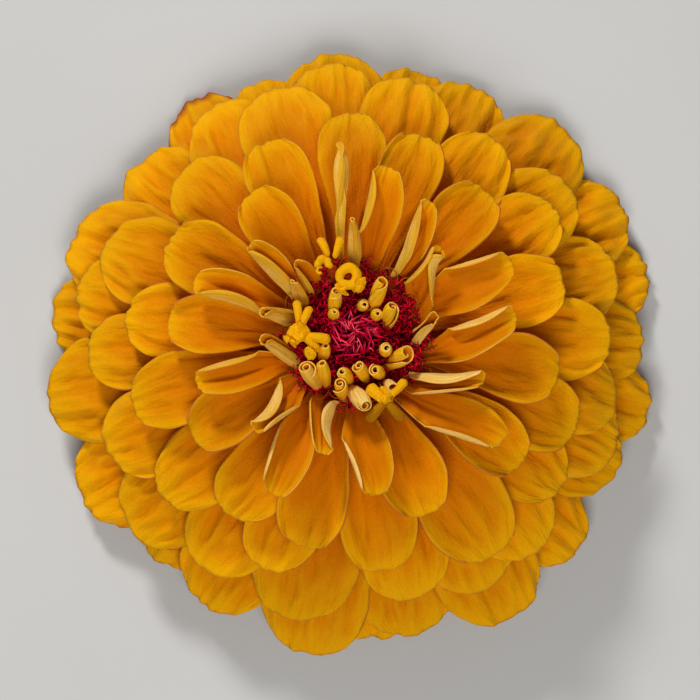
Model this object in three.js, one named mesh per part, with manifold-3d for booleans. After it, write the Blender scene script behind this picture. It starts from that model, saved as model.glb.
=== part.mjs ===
// A double zinnia head, picked and resting face up: golden ray petals in layers round a
// crimson disc, a green involucre beneath them and the cut stub of the stalk.
//
// Millimetres, +Z up. The origin is the middle of the stub's flat cut end, and the flower's
// axis is +Z. Azimuths are in degrees, anticlockwise from +X as seen from above. A reach is
// a distance from the axis.

import * as THREE from 'three';
import { mergeVertices } from 'three/addons/utils/BufferGeometryUtils.js';
import Module from 'manifold-3d';

const wasm = await Module();
wasm.setup();

// Stalk, involucre and core
const SEAT_GAP = 0.3;
const STUB_RADIUS = 3.3;
const STUB_FLARE_RADIUS = 4.1;
const STUB_HEIGHT = 4.0;
const INVOLUCRE_BASE = STUB_HEIGHT + SEAT_GAP;
const INVOLUCRE_RADIUS = 12.0;
const INVOLUCRE_TOP = 13.2;
const CORE_RADIUS = 10.8;
const CORE_SHOULDER_HEIGHT = 24.0;
const CORE_RIM_RADIUS = 9.5;
const CORE_RIM_HEIGHT = 28.8;
const BOWL_RADIUS = 9.0;
const BOWL_SINK = 0.6;
const HUMP_SHOULDER = 0.9;
const HUMP_TOP = 1.5;
const CORE_SIDES = 12;

// Disc
const DISC_TOP = 33.2;
const DISC_DROOP = 0.046;
const DOME_HEM = 0.08;
const BRISTLE_COUNT = 150;
const BRISTLE_LENGTH = 3.3;
const BRISTLE_LENGTH_SPREAD = 0.5;
const BRISTLE_RADIUS = 0.62;
const BRISTLE_ROOT_DEPTH = 0.8;
const BRISTLE_SWIRL = 34;
const BRISTLE_LEAN_SHARE = 0.62;
const BRISTLE_REACH_SHARE = 0.8;

// Petals
const BLADE_THICKNESS = 0.7;
const PETAL_ROOT_REACH = 7.0;
const CLAW_WIDTH_SHARE = 0.26;
const SWELL_POWER = 2.0;
const WIDEST_AT = 0.8;
const CORNER_WIDTH_SHARE = 0.8;
const TIP_DEPTH_SHARE = 0.19;
const TIP_ROUND_POWER = 2.5;
const TIP_ONSET_POWER = 4;
const SWEEP_POWER = 1.5;
const GOLDEN_TURN = 0.618034;

// Where a petal is split from margin to margin, and from root to tip
const THREE_STRIPS = [-1, -0.42, 0.42, 1];
const FOUR_STRIPS = [-1, -0.52, 0, 0.52, 1];
const PETAL_ROWS = [0, 0.3, 0.58, 0.82, 1];

// The whorls of open petals, from the lowest up. root, crest and tip are the heights of the
// midrib's two ends and of the control point between them, for a petal of the whorl's usual
// reach. arch is the turn of the margins, in degrees, down if it is negative. A petal is
// [azimuth of its tip, reach, width].
const OPEN_WHORLS = [
  {
    reach: 51, root: 14.6, crest: 16.6, tip: 2.6, arch: -9, columns: THREE_STRIPS,
    petals: [
      [16.5, 51.4, 14], [78, 50.4, 15], [123, 51.4, 15], [172, 52, 16], [226, 48, 15],
      [274.5, 48.2, 14], [318, 49.4, 15], [349, 50, 14],
    ],
  },
  {
    reach: 50, root: 15.6, crest: 18.8, tip: 4.6, arch: -10, columns: THREE_STRIPS,
    petals: [
      [2, 48, 16], [29, 51.4, 16], [66, 49.6, 17], [110, 48.6, 15], [139, 48.2, 16],
      [208, 51.4, 18], [240, 48.8, 17], [282, 48.4, 17], [335, 47.6, 15],
    ],
  },
  {
    reach: 51, root: 16.6, crest: 21.0, tip: 6.2, arch: -10, columns: THREE_STRIPS,
    petals: [
      [47, 52.3, 18], [94.5, 50.4, 18], [157, 51.2, 18], [189, 51.5, 18], [261, 51, 18],
      [300.5, 51.3, 18],
    ],
  },
  {
    reach: 46.5, root: 17.6, crest: 23.1, tip: 10.8, arch: -10, columns: THREE_STRIPS,
    petals: [
      [17, 45.4, 15], [95, 48, 15], [120, 47.8, 16], [168, 47.3, 15], [219, 47.5, 17],
      [257, 46.2, 18], [299.5, 46, 16], [339, 46.4, 16],
    ],
  },
  {
    reach: 44.5, root: 18.6, crest: 25.3, tip: 13.9, arch: -8, columns: THREE_STRIPS,
    petals: [
      [37, 44.3, 15], [78, 45.8, 15], [107.5, 46, 16], [134, 41, 13.4], [158, 44.8, 15.2],
      [181.5, 44, 12.6], [203, 45, 15], [236.5, 44.6, 15], [283, 43, 15], [312, 45.4, 15],
      [348, 44.8, 14],
    ],
  },
  {
    reach: 40.5, root: 19.6, crest: 27.5, tip: 18.1, arch: -6, columns: THREE_STRIPS,
    petals: [
      [1, 42, 14], [34, 39.9, 13], [56, 41.2, 13.6], [91, 38.8, 11.4], [174, 37.8, 13],
      [219, 40.3, 13.6], [249, 40.3, 12.6], [325, 41.5, 13.6],
    ],
  },
  {
    reach: 37, root: 20.7, crest: 29.5, tip: 22.0, arch: 6, columns: FOUR_STRIPS,
    petals: [
      [16, 35.5, 12], [72, 35.8, 10.4], [115, 36.2, 11], [152, 34.9, 12.2], [196, 37.8, 12.2],
      [235, 35.6, 12], [277, 38.4, 12.7], [303, 41.8, 15], [338.5, 39, 13],
    ],
  },
  {
    reach: 32, root: 21.9, crest: 31.2, tip: 26.4, arch: 20, columns: FOUR_STRIPS,
    petals: [
      [48, 32.5, 10.6], [126, 29.3, 9.8], [176, 30.4, 9.8], [212, 31, 9.8], [256, 35, 11.4],
      [292, 31.2, 11.2], [323, 34, 10.9], [349, 33.6, 11.2],
    ],
  },
];
const TIP_FALL = 0.7;
const HEIGHT_SPREAD = 0.4;
const ROLL_SPREAD = 4;

// The whorls of young petals, whose margins are still folded over the face. A petal is
// [azimuth of its tip, reach, width, fold of the clockwise margin, fold of the other
// margin, sweep], with the folds and the azimuth that the midrib sweeps through in degrees.
const FOLDED_WHORLS = [
  {
    rootReach: PETAL_ROOT_REACH, root: 23.3, crest: 33.8, tip: 31.5,
    petals: [
      [5.5, 26.2, 8.2, 15, 155, 30], [24, 27.8, 9.2, 15, 120, 2], [78.8, 27.5, 7.8, 15, 130, 0],
      [94.5, 31.2, 5.5, 85, 110, -8], [162, 27.3, 7.4, 15, 160, 3],
      [197.5, 26.7, 7.2, 130, 35, -5], [243, 29.2, 8, 70, 25, 8], [277.5, 26.4, 8.6, 75, 25, 8],
      [324, 29.5, 8.6, 100, 20, 20],
    ],
  },
  {
    rootReach: 8.0, root: 24.6, crest: 34.5, tip: 35.0,
    petals: [
      [43.5, 19.4, 6.2, 145, 150, 30], [59.5, 24.3, 5.8, 75, 150, 4],
      [140.4, 22, 6, 30, 150, -12], [225, 22.8, 6, 150, 120, 8], [255, 20.6, 6.2, 60, 160, 14],
      [338.7, 22.3, 7.4, 80, 160, 26],
    ],
  },
  {
    rootReach: 8.9, root: 25.6, crest: 31.5, tip: 36.0,
    petals: [
      [9, 13.4, 5, 150, 150, 20], [91.5, 18.5, 5, 165, 165, 0], [130, 15, 4.8, 30, 130, -6],
      [142, 13.4, 5, 160, 160, -17], [169, 16, 5, 60, 150, 0], [186, 15.6, 5, 50, 140, -34],
    ],
  },
];
const FOLD_CREASE = 0.5;
const FOLD_CREASE_HALF = 0.2;
const FOLD_STEPS = 16;

// Rolled rays standing in the disc: [azimuth, reach and radius of the open end, and how far
// that end stands along X and Y from where the ray leaves the disc]
const ROLLED_RAYS = [
  [114.8, 7.2, 1.0, 0.4, 2.4], [136.5, 4.6, 0.82, 0.2, 0.3], [70, 4.6, 1.0, 0.5, -0.2],
  [61.8, 9.4, 1.25, 1.4, 3.4], [38.9, 4.7, 0.92, 0.4, 0.2], [34.1, 7.3, 1.1, 0.7, 2.1],
  [331.5, 5.8, 1.05, 0.2, 0.1], [337.9, 9.3, 1.3, 2.3, 1.0], [297.1, 7.1, 1.1, -0.8, 0.2],
  [275.6, 5.5, 1.15, -1.0, 1.4], [251.5, 6.9, 1.1, -1.0, 0.7], [253.3, 8.8, 1.3, -0.4, 1.0],
  [223.6, 7.4, 1.0, -0.6, 2.1], [216, 10.0, 1.35, -1.4, 1.7], [206.2, 5.2, 0.85, 0.4, 1.4],
  [302.4, 11.2, 1.15, 0.9, -1.2], [278.6, 12.5, 1.35, 1.8, -2.6],
];
const ROLL_ROOT_HEIGHT = 26.0;
const ROLL_END_HEIGHT = 35.8;
const ROLL_BARE_FROM = 0.6;
const ROLL_GIRTHS = [[0, 0.7], [ROLL_BARE_FROM, 1.05], [1, 0.82]];
const ROLL_SIDES = 5;
const ROLL_PIT = 0.8;

// Open florets, each a star of fuzzy lobes: [azimuth, reach, turn of the first lobe]
const STAR_FLORETS = [
  [98, 9.0, 20], [115, 12.0, 50], [184, 9.0, 10], [293, 12.4, 35],
];
const STAR_LOBES = 5;
const STAR_LOBE_LENGTH = 3.4;
const STAR_LOBE_OUTLINE = [[-14, 0.86], [0, 1], [14, 0.86], [180 / STAR_LOBES, 0.3]];
const STAR_THICKNESS = 1.2;
const STAR_HEIGHT = 35.0;
const THROAT_RADII = [0.6, 0.9];
const THROAT_INSET = 0.6;

// The rows of involucral bracts: how many, how wide, and where they start and end along
// the involucre's side, from its base at 0 to its rim at 1.
const BRACT_LIFT = 0.7;
const BRACT_CUPPING = 0.25;
const BRACT_ROUNDING = 0.22;
const BRACT_FOOT_SHARE = 0.7;
const BRACT_ROWS = [
  { count: 6, width: 6.2, from: 0.1, to: 0.5 },
  { count: 8, width: 7.2, from: 0.34, to: 0.8 },
  { count: 10, width: 6.8, from: 0.62, to: 1.04 },
];

const material = (color, roughness) =>
  new THREE.MeshStandardMaterial({ color, roughness, metalness: 0 });
const petalGold = material(0xd98a06, 0.62);
const bractCrimson = material(0x8a0c1e, 0.7);
const sepalGreen = material(0x5f7a2c, 0.68);
const stalkGreen = material(0x6d8436, 0.66);

const radians = THREE.MathUtils.degToRad;
const smooth = THREE.MathUtils.smoothstep;

// A repeatable spread of values from -0.5 to 0.5
function vary(index, salt) {
  return ((index * GOLDEN_TURN + salt) % 1) - 0.5;
}

// Closed meshes as solids, and back

function solidOf(geometry) {
  geometry.deleteAttribute('normal');
  geometry.deleteAttribute('uv');
  const merged = mergeVertices(geometry, 1e-4);
  return new wasm.Manifold(new wasm.Mesh({
    numProp: 3,
    vertProperties: new Float32Array(merged.attributes.position.array),
    triVerts: new Uint32Array(merged.index.array),
  }));
}

function geometryOf(solid) {
  const { vertProperties, triVerts } = solid.getMesh();
  const geometry = new THREE.BufferGeometry();
  geometry.setAttribute('position', new THREE.BufferAttribute(vertProperties, 3));
  geometry.setIndex(new THREE.BufferAttribute(triVerts, 1));
  geometry.computeVertexNormals();
  return geometry;
}

function joined(solids) {
  return solids.reduce((whole, solid) => whole.add(solid));
}

// The outer shell of a solid's largest piece: the scraps that a cut leaves are dropped, and
// the hollows that a join seals are filled
function mainPiece(solid) {
  const pieces = solid.decompose();
  return pieces.reduce((most, piece) => (piece.volume() > most.volume() ? piece : most));
}

function namedMesh(name, geometry, finish) {
  const mesh = new THREE.Mesh(geometry, finish);
  mesh.name = name;
  return mesh;
}

// A solid of revolution from [radius, height] pairs that start and end on the axis
function turned(profile, segments) {
  const points = profile.map(([radius, height]) => new THREE.Vector2(radius, height));
  return new THREE.LatheGeometry(points, segments).rotateX(Math.PI / 2);
}

function indexedGeometry(points, faces) {
  const geometry = new THREE.BufferGeometry();
  geometry.setFromPoints(points);
  geometry.setIndex(faces);
  return geometry;
}

// A thin closed blade. surface(across, along) gives its middle surface, and both faces are
// split into triangles the same way.
function bladeGeometry(surface, acrossStops, alongStops, thickness) {
  const columns = acrossStops.length;
  const rows = alongStops.length;
  const middle = alongStops.map((along) => acrossStops.map((across) => surface(across, along)));
  const top = [];
  const bottom = [];
  for (let row = 0; row < rows; row += 1) {
    for (let column = 0; column < columns; column += 1) {
      const here = middle[row][column];
      const acrossStep = middle[row][Math.min(column + 1, columns - 1)].clone()
        .sub(middle[row][Math.max(column - 1, 0)]);
      const alongStep = middle[Math.min(row + 1, rows - 1)][column].clone()
        .sub(middle[Math.max(row - 1, 0)][column]);
      const offset = alongStep.cross(acrossStep).setLength(thickness / 2);
      top.push(here.clone().add(offset));
      bottom.push(here.clone().sub(offset));
    }
  }
  const faces = [];
  const under = rows * columns;
  const at = (row, column) => row * columns + column;
  for (let row = 0; row < rows - 1; row += 1) {
    for (let column = 0; column < columns - 1; column += 1) {
      const a = at(row, column);
      const b = at(row, column + 1);
      const c = at(row + 1, column + 1);
      const d = at(row + 1, column);
      faces.push(a, c, b, a, d, c);
      faces.push(under + a, under + b, under + c, under + a, under + c, under + d);
    }
  }
  const rim = [];
  for (let column = 0; column < columns - 1; column += 1) rim.push(at(0, column));
  for (let row = 0; row < rows - 1; row += 1) rim.push(at(row, columns - 1));
  for (let column = columns - 1; column > 0; column -= 1) rim.push(at(rows - 1, column));
  for (let row = rows - 1; row > 0; row -= 1) rim.push(at(row, 0));
  rim.forEach((a, place) => {
    const b = rim[(place + 1) % rim.length];
    faces.push(a, b, under + b, a, under + b, under + a);
  });
  return indexedGeometry([...top, ...bottom], faces);
}

// A closed round limb through the given points, with a radius at each. Its end may be
// sunk by the depth of a pit.
function limbGeometry(points, radii, sides, pit = 0) {
  const rings = [];
  let side = new THREE.Vector3(0.31, 0.95, 0.05);
  points.forEach((point, place) => {
    const ahead = points[Math.min(place + 1, points.length - 1)].clone()
      .sub(points[Math.max(place - 1, 0)]).normalize();
    side = side.clone().addScaledVector(ahead, -side.dot(ahead)).normalize();
    const other = ahead.clone().cross(side);
    for (let k = 0; k < sides; k += 1) {
      const turn = (2 * Math.PI * k) / sides;
      rings.push(point.clone()
        .addScaledVector(side, radii[place] * Math.cos(turn))
        .addScaledVector(other, radii[place] * Math.sin(turn)));
    }
  });
  const last = points.length - 1;
  const ahead = points[last].clone().sub(points[last - 1]).normalize();
  const startPole = rings.push(points[0].clone()) - 1;
  const endPole = rings.push(points[last].clone().addScaledVector(ahead, -pit)) - 1;
  const faces = [];
  for (let k = 0; k < sides; k += 1) {
    const next = (k + 1) % sides;
    faces.push(startPole, next, k);
    faces.push(endPole, last * sides + k, last * sides + next);
    for (let ring = 0; ring < last; ring += 1) {
      const a = ring * sides + k;
      const b = ring * sides + next;
      faces.push(a, b, b + sides, a, b + sides, a + sides);
    }
  }
  return indexedGeometry(rings, faces);
}

// Petals

function widthShare(along) {
  const swell = Math.sin((Math.PI / 2) * Math.min(1, along / WIDEST_AT) ** SWELL_POWER);
  const past = Math.max(0, along - WIDEST_AT) / (1 - WIDEST_AT);
  return CLAW_WIDTH_SHARE + (1 - CLAW_WIDTH_SHARE) * swell - (1 - CORNER_WIDTH_SHARE) * past ** 2;
}

// The middle surface of a petal. Across runs from -1, the clockwise margin, to 1, and along
// runs from 0, the root inside the core, to 1, the rounded tip.
function petalSurface(petal) {
  const length = petal.reach - petal.rootReach;
  const tipDepth = (TIP_DEPTH_SHARE * petal.width) / length;
  const midReach = (petal.rootReach + petal.reach) / 2;
  return (across, along) => {
    const back = tipDepth * Math.abs(across) ** TIP_ROUND_POWER * along ** TIP_ONSET_POWER;
    const t = along * (1 - back);
    const reach = (1 - t) ** 2 * petal.rootReach + 2 * (1 - t) * t * midReach + t ** 2 * petal.reach;
    const height = (1 - t) ** 2 * petal.root + 2 * (1 - t) * t * petal.crest + t ** 2 * petal.tip;
    const rise = 2 * (1 - t) * (petal.crest - petal.root) + 2 * t * (petal.tip - petal.crest);
    const azimuth = radians(petal.azimuth - petal.sweep * (1 - t) ** SWEEP_POWER);
    const outward = new THREE.Vector3(Math.cos(azimuth), Math.sin(azimuth), 0);
    const sideways = new THREE.Vector3(-Math.sin(azimuth), Math.cos(azimuth), 0);
    const slope = new THREE.Vector3(outward.x * length, outward.y * length, rise).normalize();
    const upward = slope.clone().cross(sideways);
    const half = (petal.width / 2) * widthShare(along);
    const [flat, raised] = petal.section(across, along);
    const roll = radians(petal.roll) * t;
    return outward.multiplyScalar(reach)
      .addScaledVector(sideways, half * (flat * Math.cos(roll) - raised * Math.sin(roll)))
      .addScaledVector(upward, half * (flat * Math.sin(roll) + raised * Math.cos(roll)))
      .add(new THREE.Vector3(0, 0, height));
  };
}

// The cross-section of a petal whose margins turn evenly by an arch
function archedSection(arch) {
  return (across, along) => {
    const turn = radians(arch) * smooth(along, 0, 0.5);
    const size = Math.abs(across);
    return [across * (1 - (turn * size) ** 2 / 6), (turn * size ** 2) / 2];
  };
}

// The cross-section of a petal whose margins are folded over at a crease
function foldedSection(foldBefore, foldAfter) {
  return (across, along) => {
    const fold = radians(across < 0 ? foldBefore : foldAfter) * smooth(along, 0, 0.4);
    const step = Math.abs(across) / FOLD_STEPS;
    let flat = 0;
    let raised = 0;
    for (let k = 0; k < FOLD_STEPS; k += 1) {
      const size = (k + 0.5) * step;
      const crease = smooth(size, FOLD_CREASE - FOLD_CREASE_HALF, FOLD_CREASE + FOLD_CREASE_HALF);
      flat += Math.cos(fold * crease) * step;
      raised += Math.sin(fold * crease) * step;
    }
    return [Math.sign(across) * flat, raised];
  };
}

function openPetals() {
  return OPEN_WHORLS.flatMap((whorl, order) => whorl.petals.map(([azimuth, reach, width], k) => {
    const surface = petalSurface({
      azimuth, reach, width, rootReach: PETAL_ROOT_REACH, sweep: 0,
      root: whorl.root, crest: whorl.crest + HEIGHT_SPREAD * vary(k, 0.37 * order),
      tip: whorl.tip + TIP_FALL * (whorl.reach - reach)
        + HEIGHT_SPREAD * vary(k, 0.11 + 0.23 * order),
      roll: ROLL_SPREAD * vary(k, 0.53 + 0.41 * order),
      section: archedSection(whorl.arch),
    });
    return solidOf(bladeGeometry(surface, whorl.columns, PETAL_ROWS, BLADE_THICKNESS));
  }));
}

function foldedPetals(whorls, thickness) {
  return whorls.flatMap((whorl) => whorl.petals.map(
    ([azimuth, reach, width, foldBefore, foldAfter, sweep]) => {
      const surface = petalSurface({
        azimuth, reach, width, sweep, rootReach: whorl.rootReach,
        root: whorl.root, crest: whorl.crest, tip: whorl.tip, roll: 0,
        section: foldedSection(foldBefore, foldAfter),
      });
      return solidOf(bladeGeometry(surface, FOUR_STRIPS, PETAL_ROWS, thickness));
    },
  ));
}

// Disc florets, grown by a clearance where the crimson disc is cut to pass them

function polar(azimuth, reach, height) {
  const angle = radians(azimuth);
  return new THREE.Vector3(reach * Math.cos(angle), reach * Math.sin(angle), height);
}

// A point of a rolled ray's axis, from its root at 0 to its open end at 1
function rayAxis([azimuth, reach, , leanX, leanY], t) {
  const behind = (1 - t ** 2) / (1 - ROLL_BARE_FROM ** 2);
  const height = ROLL_ROOT_HEIGHT + t * (ROLL_END_HEIGHT - ROLL_ROOT_HEIGHT);
  return polar(azimuth, reach, height).sub(new THREE.Vector3(leanX * behind, leanY * behind, 0));
}

function rolledRays(clearance) {
  return ROLLED_RAYS.map((ray) => {
    const points = ROLL_GIRTHS.map(([t]) => rayAxis(ray, t));
    const radii = ROLL_GIRTHS.map(([, share]) => share * ray[2] + clearance);
    return solidOf(limbGeometry(points, radii, ROLL_SIDES, clearance ? 0 : ROLL_PIT));
  });
}

function starFlorets(clearance) {
  return STAR_FLORETS.flatMap(([azimuth, reach, firstTurn]) => {
    const heart = polar(azimuth, reach, STAR_HEIGHT);
    const root = polar(azimuth, Math.min(reach, CORE_RIM_RADIUS) - THROAT_INSET, ROLL_ROOT_HEIGHT);
    const throat = limbGeometry([root, heart], THROAT_RADII.map((r) => r + clearance), 4);
    const size = STAR_LOBE_LENGTH + clearance;
    const outline = [];
    for (let k = 0; k < STAR_LOBES; k += 1) {
      const turn = firstTurn + (360 * k) / STAR_LOBES;
      STAR_LOBE_OUTLINE.forEach(([aside, share]) => {
        const point = polar(turn + aside, size * share, 0);
        outline.push(new THREE.Vector2(point.x, point.y));
      });
    }
    const shape = new THREE.Shape(outline);
    const depth = STAR_THICKNESS + 2 * clearance;
    const star = new THREE.ExtrudeGeometry(shape, { depth, bevelEnabled: false });
    star.translate(heart.x, heart.y, heart.z - depth / 2);
    return [throat, star].map(solidOf);
  });
}

// The golden core: it stands on the involucre, and its top is a bowl for the disc
function coreSolid() {
  const foot = INVOLUCRE_TOP + SEAT_GAP;
  return solidOf(turned([
    [0, foot], [CORE_RADIUS, foot], [CORE_RADIUS, CORE_SHOULDER_HEIGHT],
    [CORE_RIM_RADIUS, CORE_RIM_HEIGHT], [BOWL_RADIUS, CORE_RIM_HEIGHT - BOWL_SINK],
    [BOWL_RADIUS * 0.5, CORE_RIM_HEIGHT + HUMP_SHOULDER], [0, CORE_RIM_HEIGHT + HUMP_TOP],
  ], CORE_SIDES));
}

function rayPetals() {
  return mainPiece(joined([
    coreSolid(), ...openPetals(), ...foldedPetals(FOLDED_WHORLS, BLADE_THICKNESS),
    ...rolledRays(0), ...starFlorets(0),
  ]));
}

// The crimson disc: a low dome of bracts whose tips lean in and swirl to the middle

function discTop(reach) {
  return DISC_TOP - DISC_DROOP * reach ** 2;
}

// One bristly bract tip: a three-sided spike from its foot in the dome to its leaning tip
function discBristle(index) {
  const reach = (BOWL_RADIUS - 1.0) * Math.sqrt((index + 0.5) / BRISTLE_COUNT);
  const azimuth = index * 360 * (1 - GOLDEN_TURN);
  const swirl = BRISTLE_SWIRL * (1 - reach / BOWL_RADIUS);
  const length = BRISTLE_LENGTH * (1 + BRISTLE_LENGTH_SPREAD * vary(index, 0.2));
  const lean = Math.min(reach * BRISTLE_REACH_SHARE, BRISTLE_LEAN_SHARE * length);
  const rise = length * Math.sqrt(1 - BRISTLE_LEAN_SHARE ** 2);
  const foot = polar(azimuth, reach, discTop(reach) - BRISTLE_ROOT_DEPTH);
  const tip = polar(azimuth + swirl, reach - lean, discTop(reach) + rise);
  const stretch = foot.distanceTo(tip);
  const spike = new THREE.ConeGeometry(BRISTLE_RADIUS, stretch, 3).translate(0, stretch / 2, 0);
  const up = new THREE.Vector3(0, 1, 0);
  spike.applyQuaternion(new THREE.Quaternion().setFromUnitVectors(
    up,
    tip.clone().sub(foot).normalize(),
  ));
  return solidOf(spike.translate(foot.x, foot.y, foot.z));
}

function discBracts() {
  const under = CORE_RIM_HEIGHT + SEAT_GAP;
  const edge = BOWL_RADIUS - SEAT_GAP;
  const dome = solidOf(turned([
    [0, under + HUMP_TOP], [BOWL_RADIUS * 0.5, under + HUMP_SHOULDER],
    [edge, under - BOWL_SINK + DOME_HEM],
    [edge, discTop(edge)], [edge * 0.6, discTop(edge * 0.6)], [0, discTop(0)],
  ], CORE_SIDES));
  const passages = joined([
    ...rolledRays(SEAT_GAP), ...starFlorets(SEAT_GAP),
    ...foldedPetals(FOLDED_WHORLS.slice(1), BLADE_THICKNESS + 2 * SEAT_GAP),
  ]);
  const clear = (bristle) => bristle.intersect(passages).isEmpty();
  const bristles = Array.from({ length: BRISTLE_COUNT }, (_, index) => discBristle(index));
  return joined([mainPiece(dome.subtract(passages)), ...bristles.filter(clear)]);
}

// The involucre: the swollen head of the stalk, with rounded green bracts lapped over it

const INVOLUCRE_SIDE = [
  [STUB_FLARE_RADIUS, INVOLUCRE_BASE], [7.6, INVOLUCRE_BASE + 1.2],
  [10.2, INVOLUCRE_BASE + 4.0], [11.5, INVOLUCRE_BASE + 7.0],
  [INVOLUCRE_RADIUS, INVOLUCRE_TOP],
];

// A point on the involucre's side, lifted off it, with share 0 at its base and 1 at its rim
function sidePoint(share, azimuth, lift) {
  const place = Math.min(Math.max(share, 0), 0.999) * (INVOLUCRE_SIDE.length - 1);
  const low = Math.floor(place);
  const [lowReach, lowHeight] = INVOLUCRE_SIDE[low];
  const [highReach, highHeight] = INVOLUCRE_SIDE[low + 1];
  const within = share > 0.999 ? share * (INVOLUCRE_SIDE.length - 1) - low : place - low;
  const reach = lowReach + within * (highReach - lowReach);
  const height = lowHeight + within * (highHeight - lowHeight);
  const slant = Math.hypot(highReach - lowReach, highHeight - lowHeight);
  return polar(
    azimuth,
    reach + (lift * (highHeight - lowHeight)) / slant,
    height - (lift * (highReach - lowReach)) / slant,
  );
}

function bractSurface(row, azimuth) {
  return (across, along) => {
    const corner = 1 - Math.sqrt(1 - Math.min(1, Math.abs(across)) ** 2);
    const share = row.from + (row.to - row.from) * along * (1 - BRACT_ROUNDING * corner * along ** 3);
    const lift = BRACT_LIFT * along ** 0.5 - BRACT_CUPPING * across ** 2;
    const middle = sidePoint(share, azimuth, lift);
    const reach = Math.hypot(middle.x, middle.y);
    const swell = Math.sin(Math.PI * Math.min(1, along * WIDEST_AT));
    const half = (row.width / 2) * (BRACT_FOOT_SHARE + (1 - BRACT_FOOT_SHARE) * swell);
    return polar(azimuth + THREE.MathUtils.radToDeg((half * across) / reach), reach, middle.z);
  };
}

function involucre() {
  const profile = [[0, INVOLUCRE_BASE], ...INVOLUCRE_SIDE, [0, INVOLUCRE_TOP]];
  const base = solidOf(turned(profile, CORE_SIDES));
  const bracts = BRACT_ROWS.flatMap((row, order) => Array.from({ length: row.count }, (_, k) => {
    const azimuth = (360 * (k + 0.37 * order)) / row.count;
    const surface = bractSurface(row, azimuth);
    return solidOf(bladeGeometry(surface, [-1, 0, 1], [0, 0.6, 1], BLADE_THICKNESS));
  }));
  return mainPiece(joined([base, ...bracts]));
}

function stemStub() {
  return turned([
    [0, 0], [STUB_RADIUS, 0], [STUB_RADIUS, STUB_HEIGHT * 0.55],
    [STUB_FLARE_RADIUS, STUB_HEIGHT], [0, STUB_HEIGHT],
  ], 20);
}

const zinnia = new THREE.Group();
zinnia.add(namedMesh('ray_petals', geometryOf(rayPetals()), petalGold));
zinnia.add(namedMesh('disc_bracts', geometryOf(discBracts()), bractCrimson));
zinnia.add(namedMesh('involucre', geometryOf(involucre()), sepalGreen));
zinnia.add(namedMesh('stem_stub', stemStub(), stalkGreen));

export default zinnia;
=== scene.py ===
# A golden double zinnia head, picked and resting face up: the looks of the fixed frame.
#
# The lists and formulas are in millimetres, as the frame was laid out. +Z is the flower's
# axis, an azimuth is in degrees anticlockwise from +X as seen from above, and a reach is a
# distance from the axis. A mesh is shaped in millimetres and brought to metres at its end.

import math
import random
from dataclasses import dataclass

import bmesh
import bpy
from bpy.props import FloatProperty, FloatVectorProperty, IntProperty, PointerProperty
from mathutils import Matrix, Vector, noise


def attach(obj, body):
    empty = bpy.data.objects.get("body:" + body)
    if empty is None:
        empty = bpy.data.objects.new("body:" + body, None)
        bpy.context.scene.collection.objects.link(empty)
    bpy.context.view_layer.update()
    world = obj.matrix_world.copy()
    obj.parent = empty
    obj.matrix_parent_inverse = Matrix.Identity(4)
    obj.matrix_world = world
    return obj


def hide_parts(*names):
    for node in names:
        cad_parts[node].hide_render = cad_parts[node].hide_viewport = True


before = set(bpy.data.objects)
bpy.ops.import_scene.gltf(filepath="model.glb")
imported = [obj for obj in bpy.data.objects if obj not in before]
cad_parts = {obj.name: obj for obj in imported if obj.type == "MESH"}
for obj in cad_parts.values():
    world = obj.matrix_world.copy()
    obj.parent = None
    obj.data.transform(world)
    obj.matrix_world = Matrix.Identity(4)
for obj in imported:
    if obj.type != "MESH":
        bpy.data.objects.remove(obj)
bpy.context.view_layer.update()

bl_info = {
    "name": "Zinnia Flower",
    "version": (1, 0, 0),
    "blender": (4, 5, 0),
    "location": "3D View > Sidebar > Zinnia",
    "description": "Dresses the fixed frame of a golden double zinnia head",
    "category": "Add Mesh",
}

MM = 0.001
BODY = "root"

# The distance, in millimetres, within which vertices are merged
WELD_DISTANCE = 0.004

# Petals, as in the frame
PETAL_ROOT_REACH = 7.0
CLAW_WIDTH_SHARE = 0.26
SWELL_POWER = 2.0
SWEEP_POWER = 1.5
TIP_FALL = 0.7
GOLDEN_TURN = 0.618034

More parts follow.
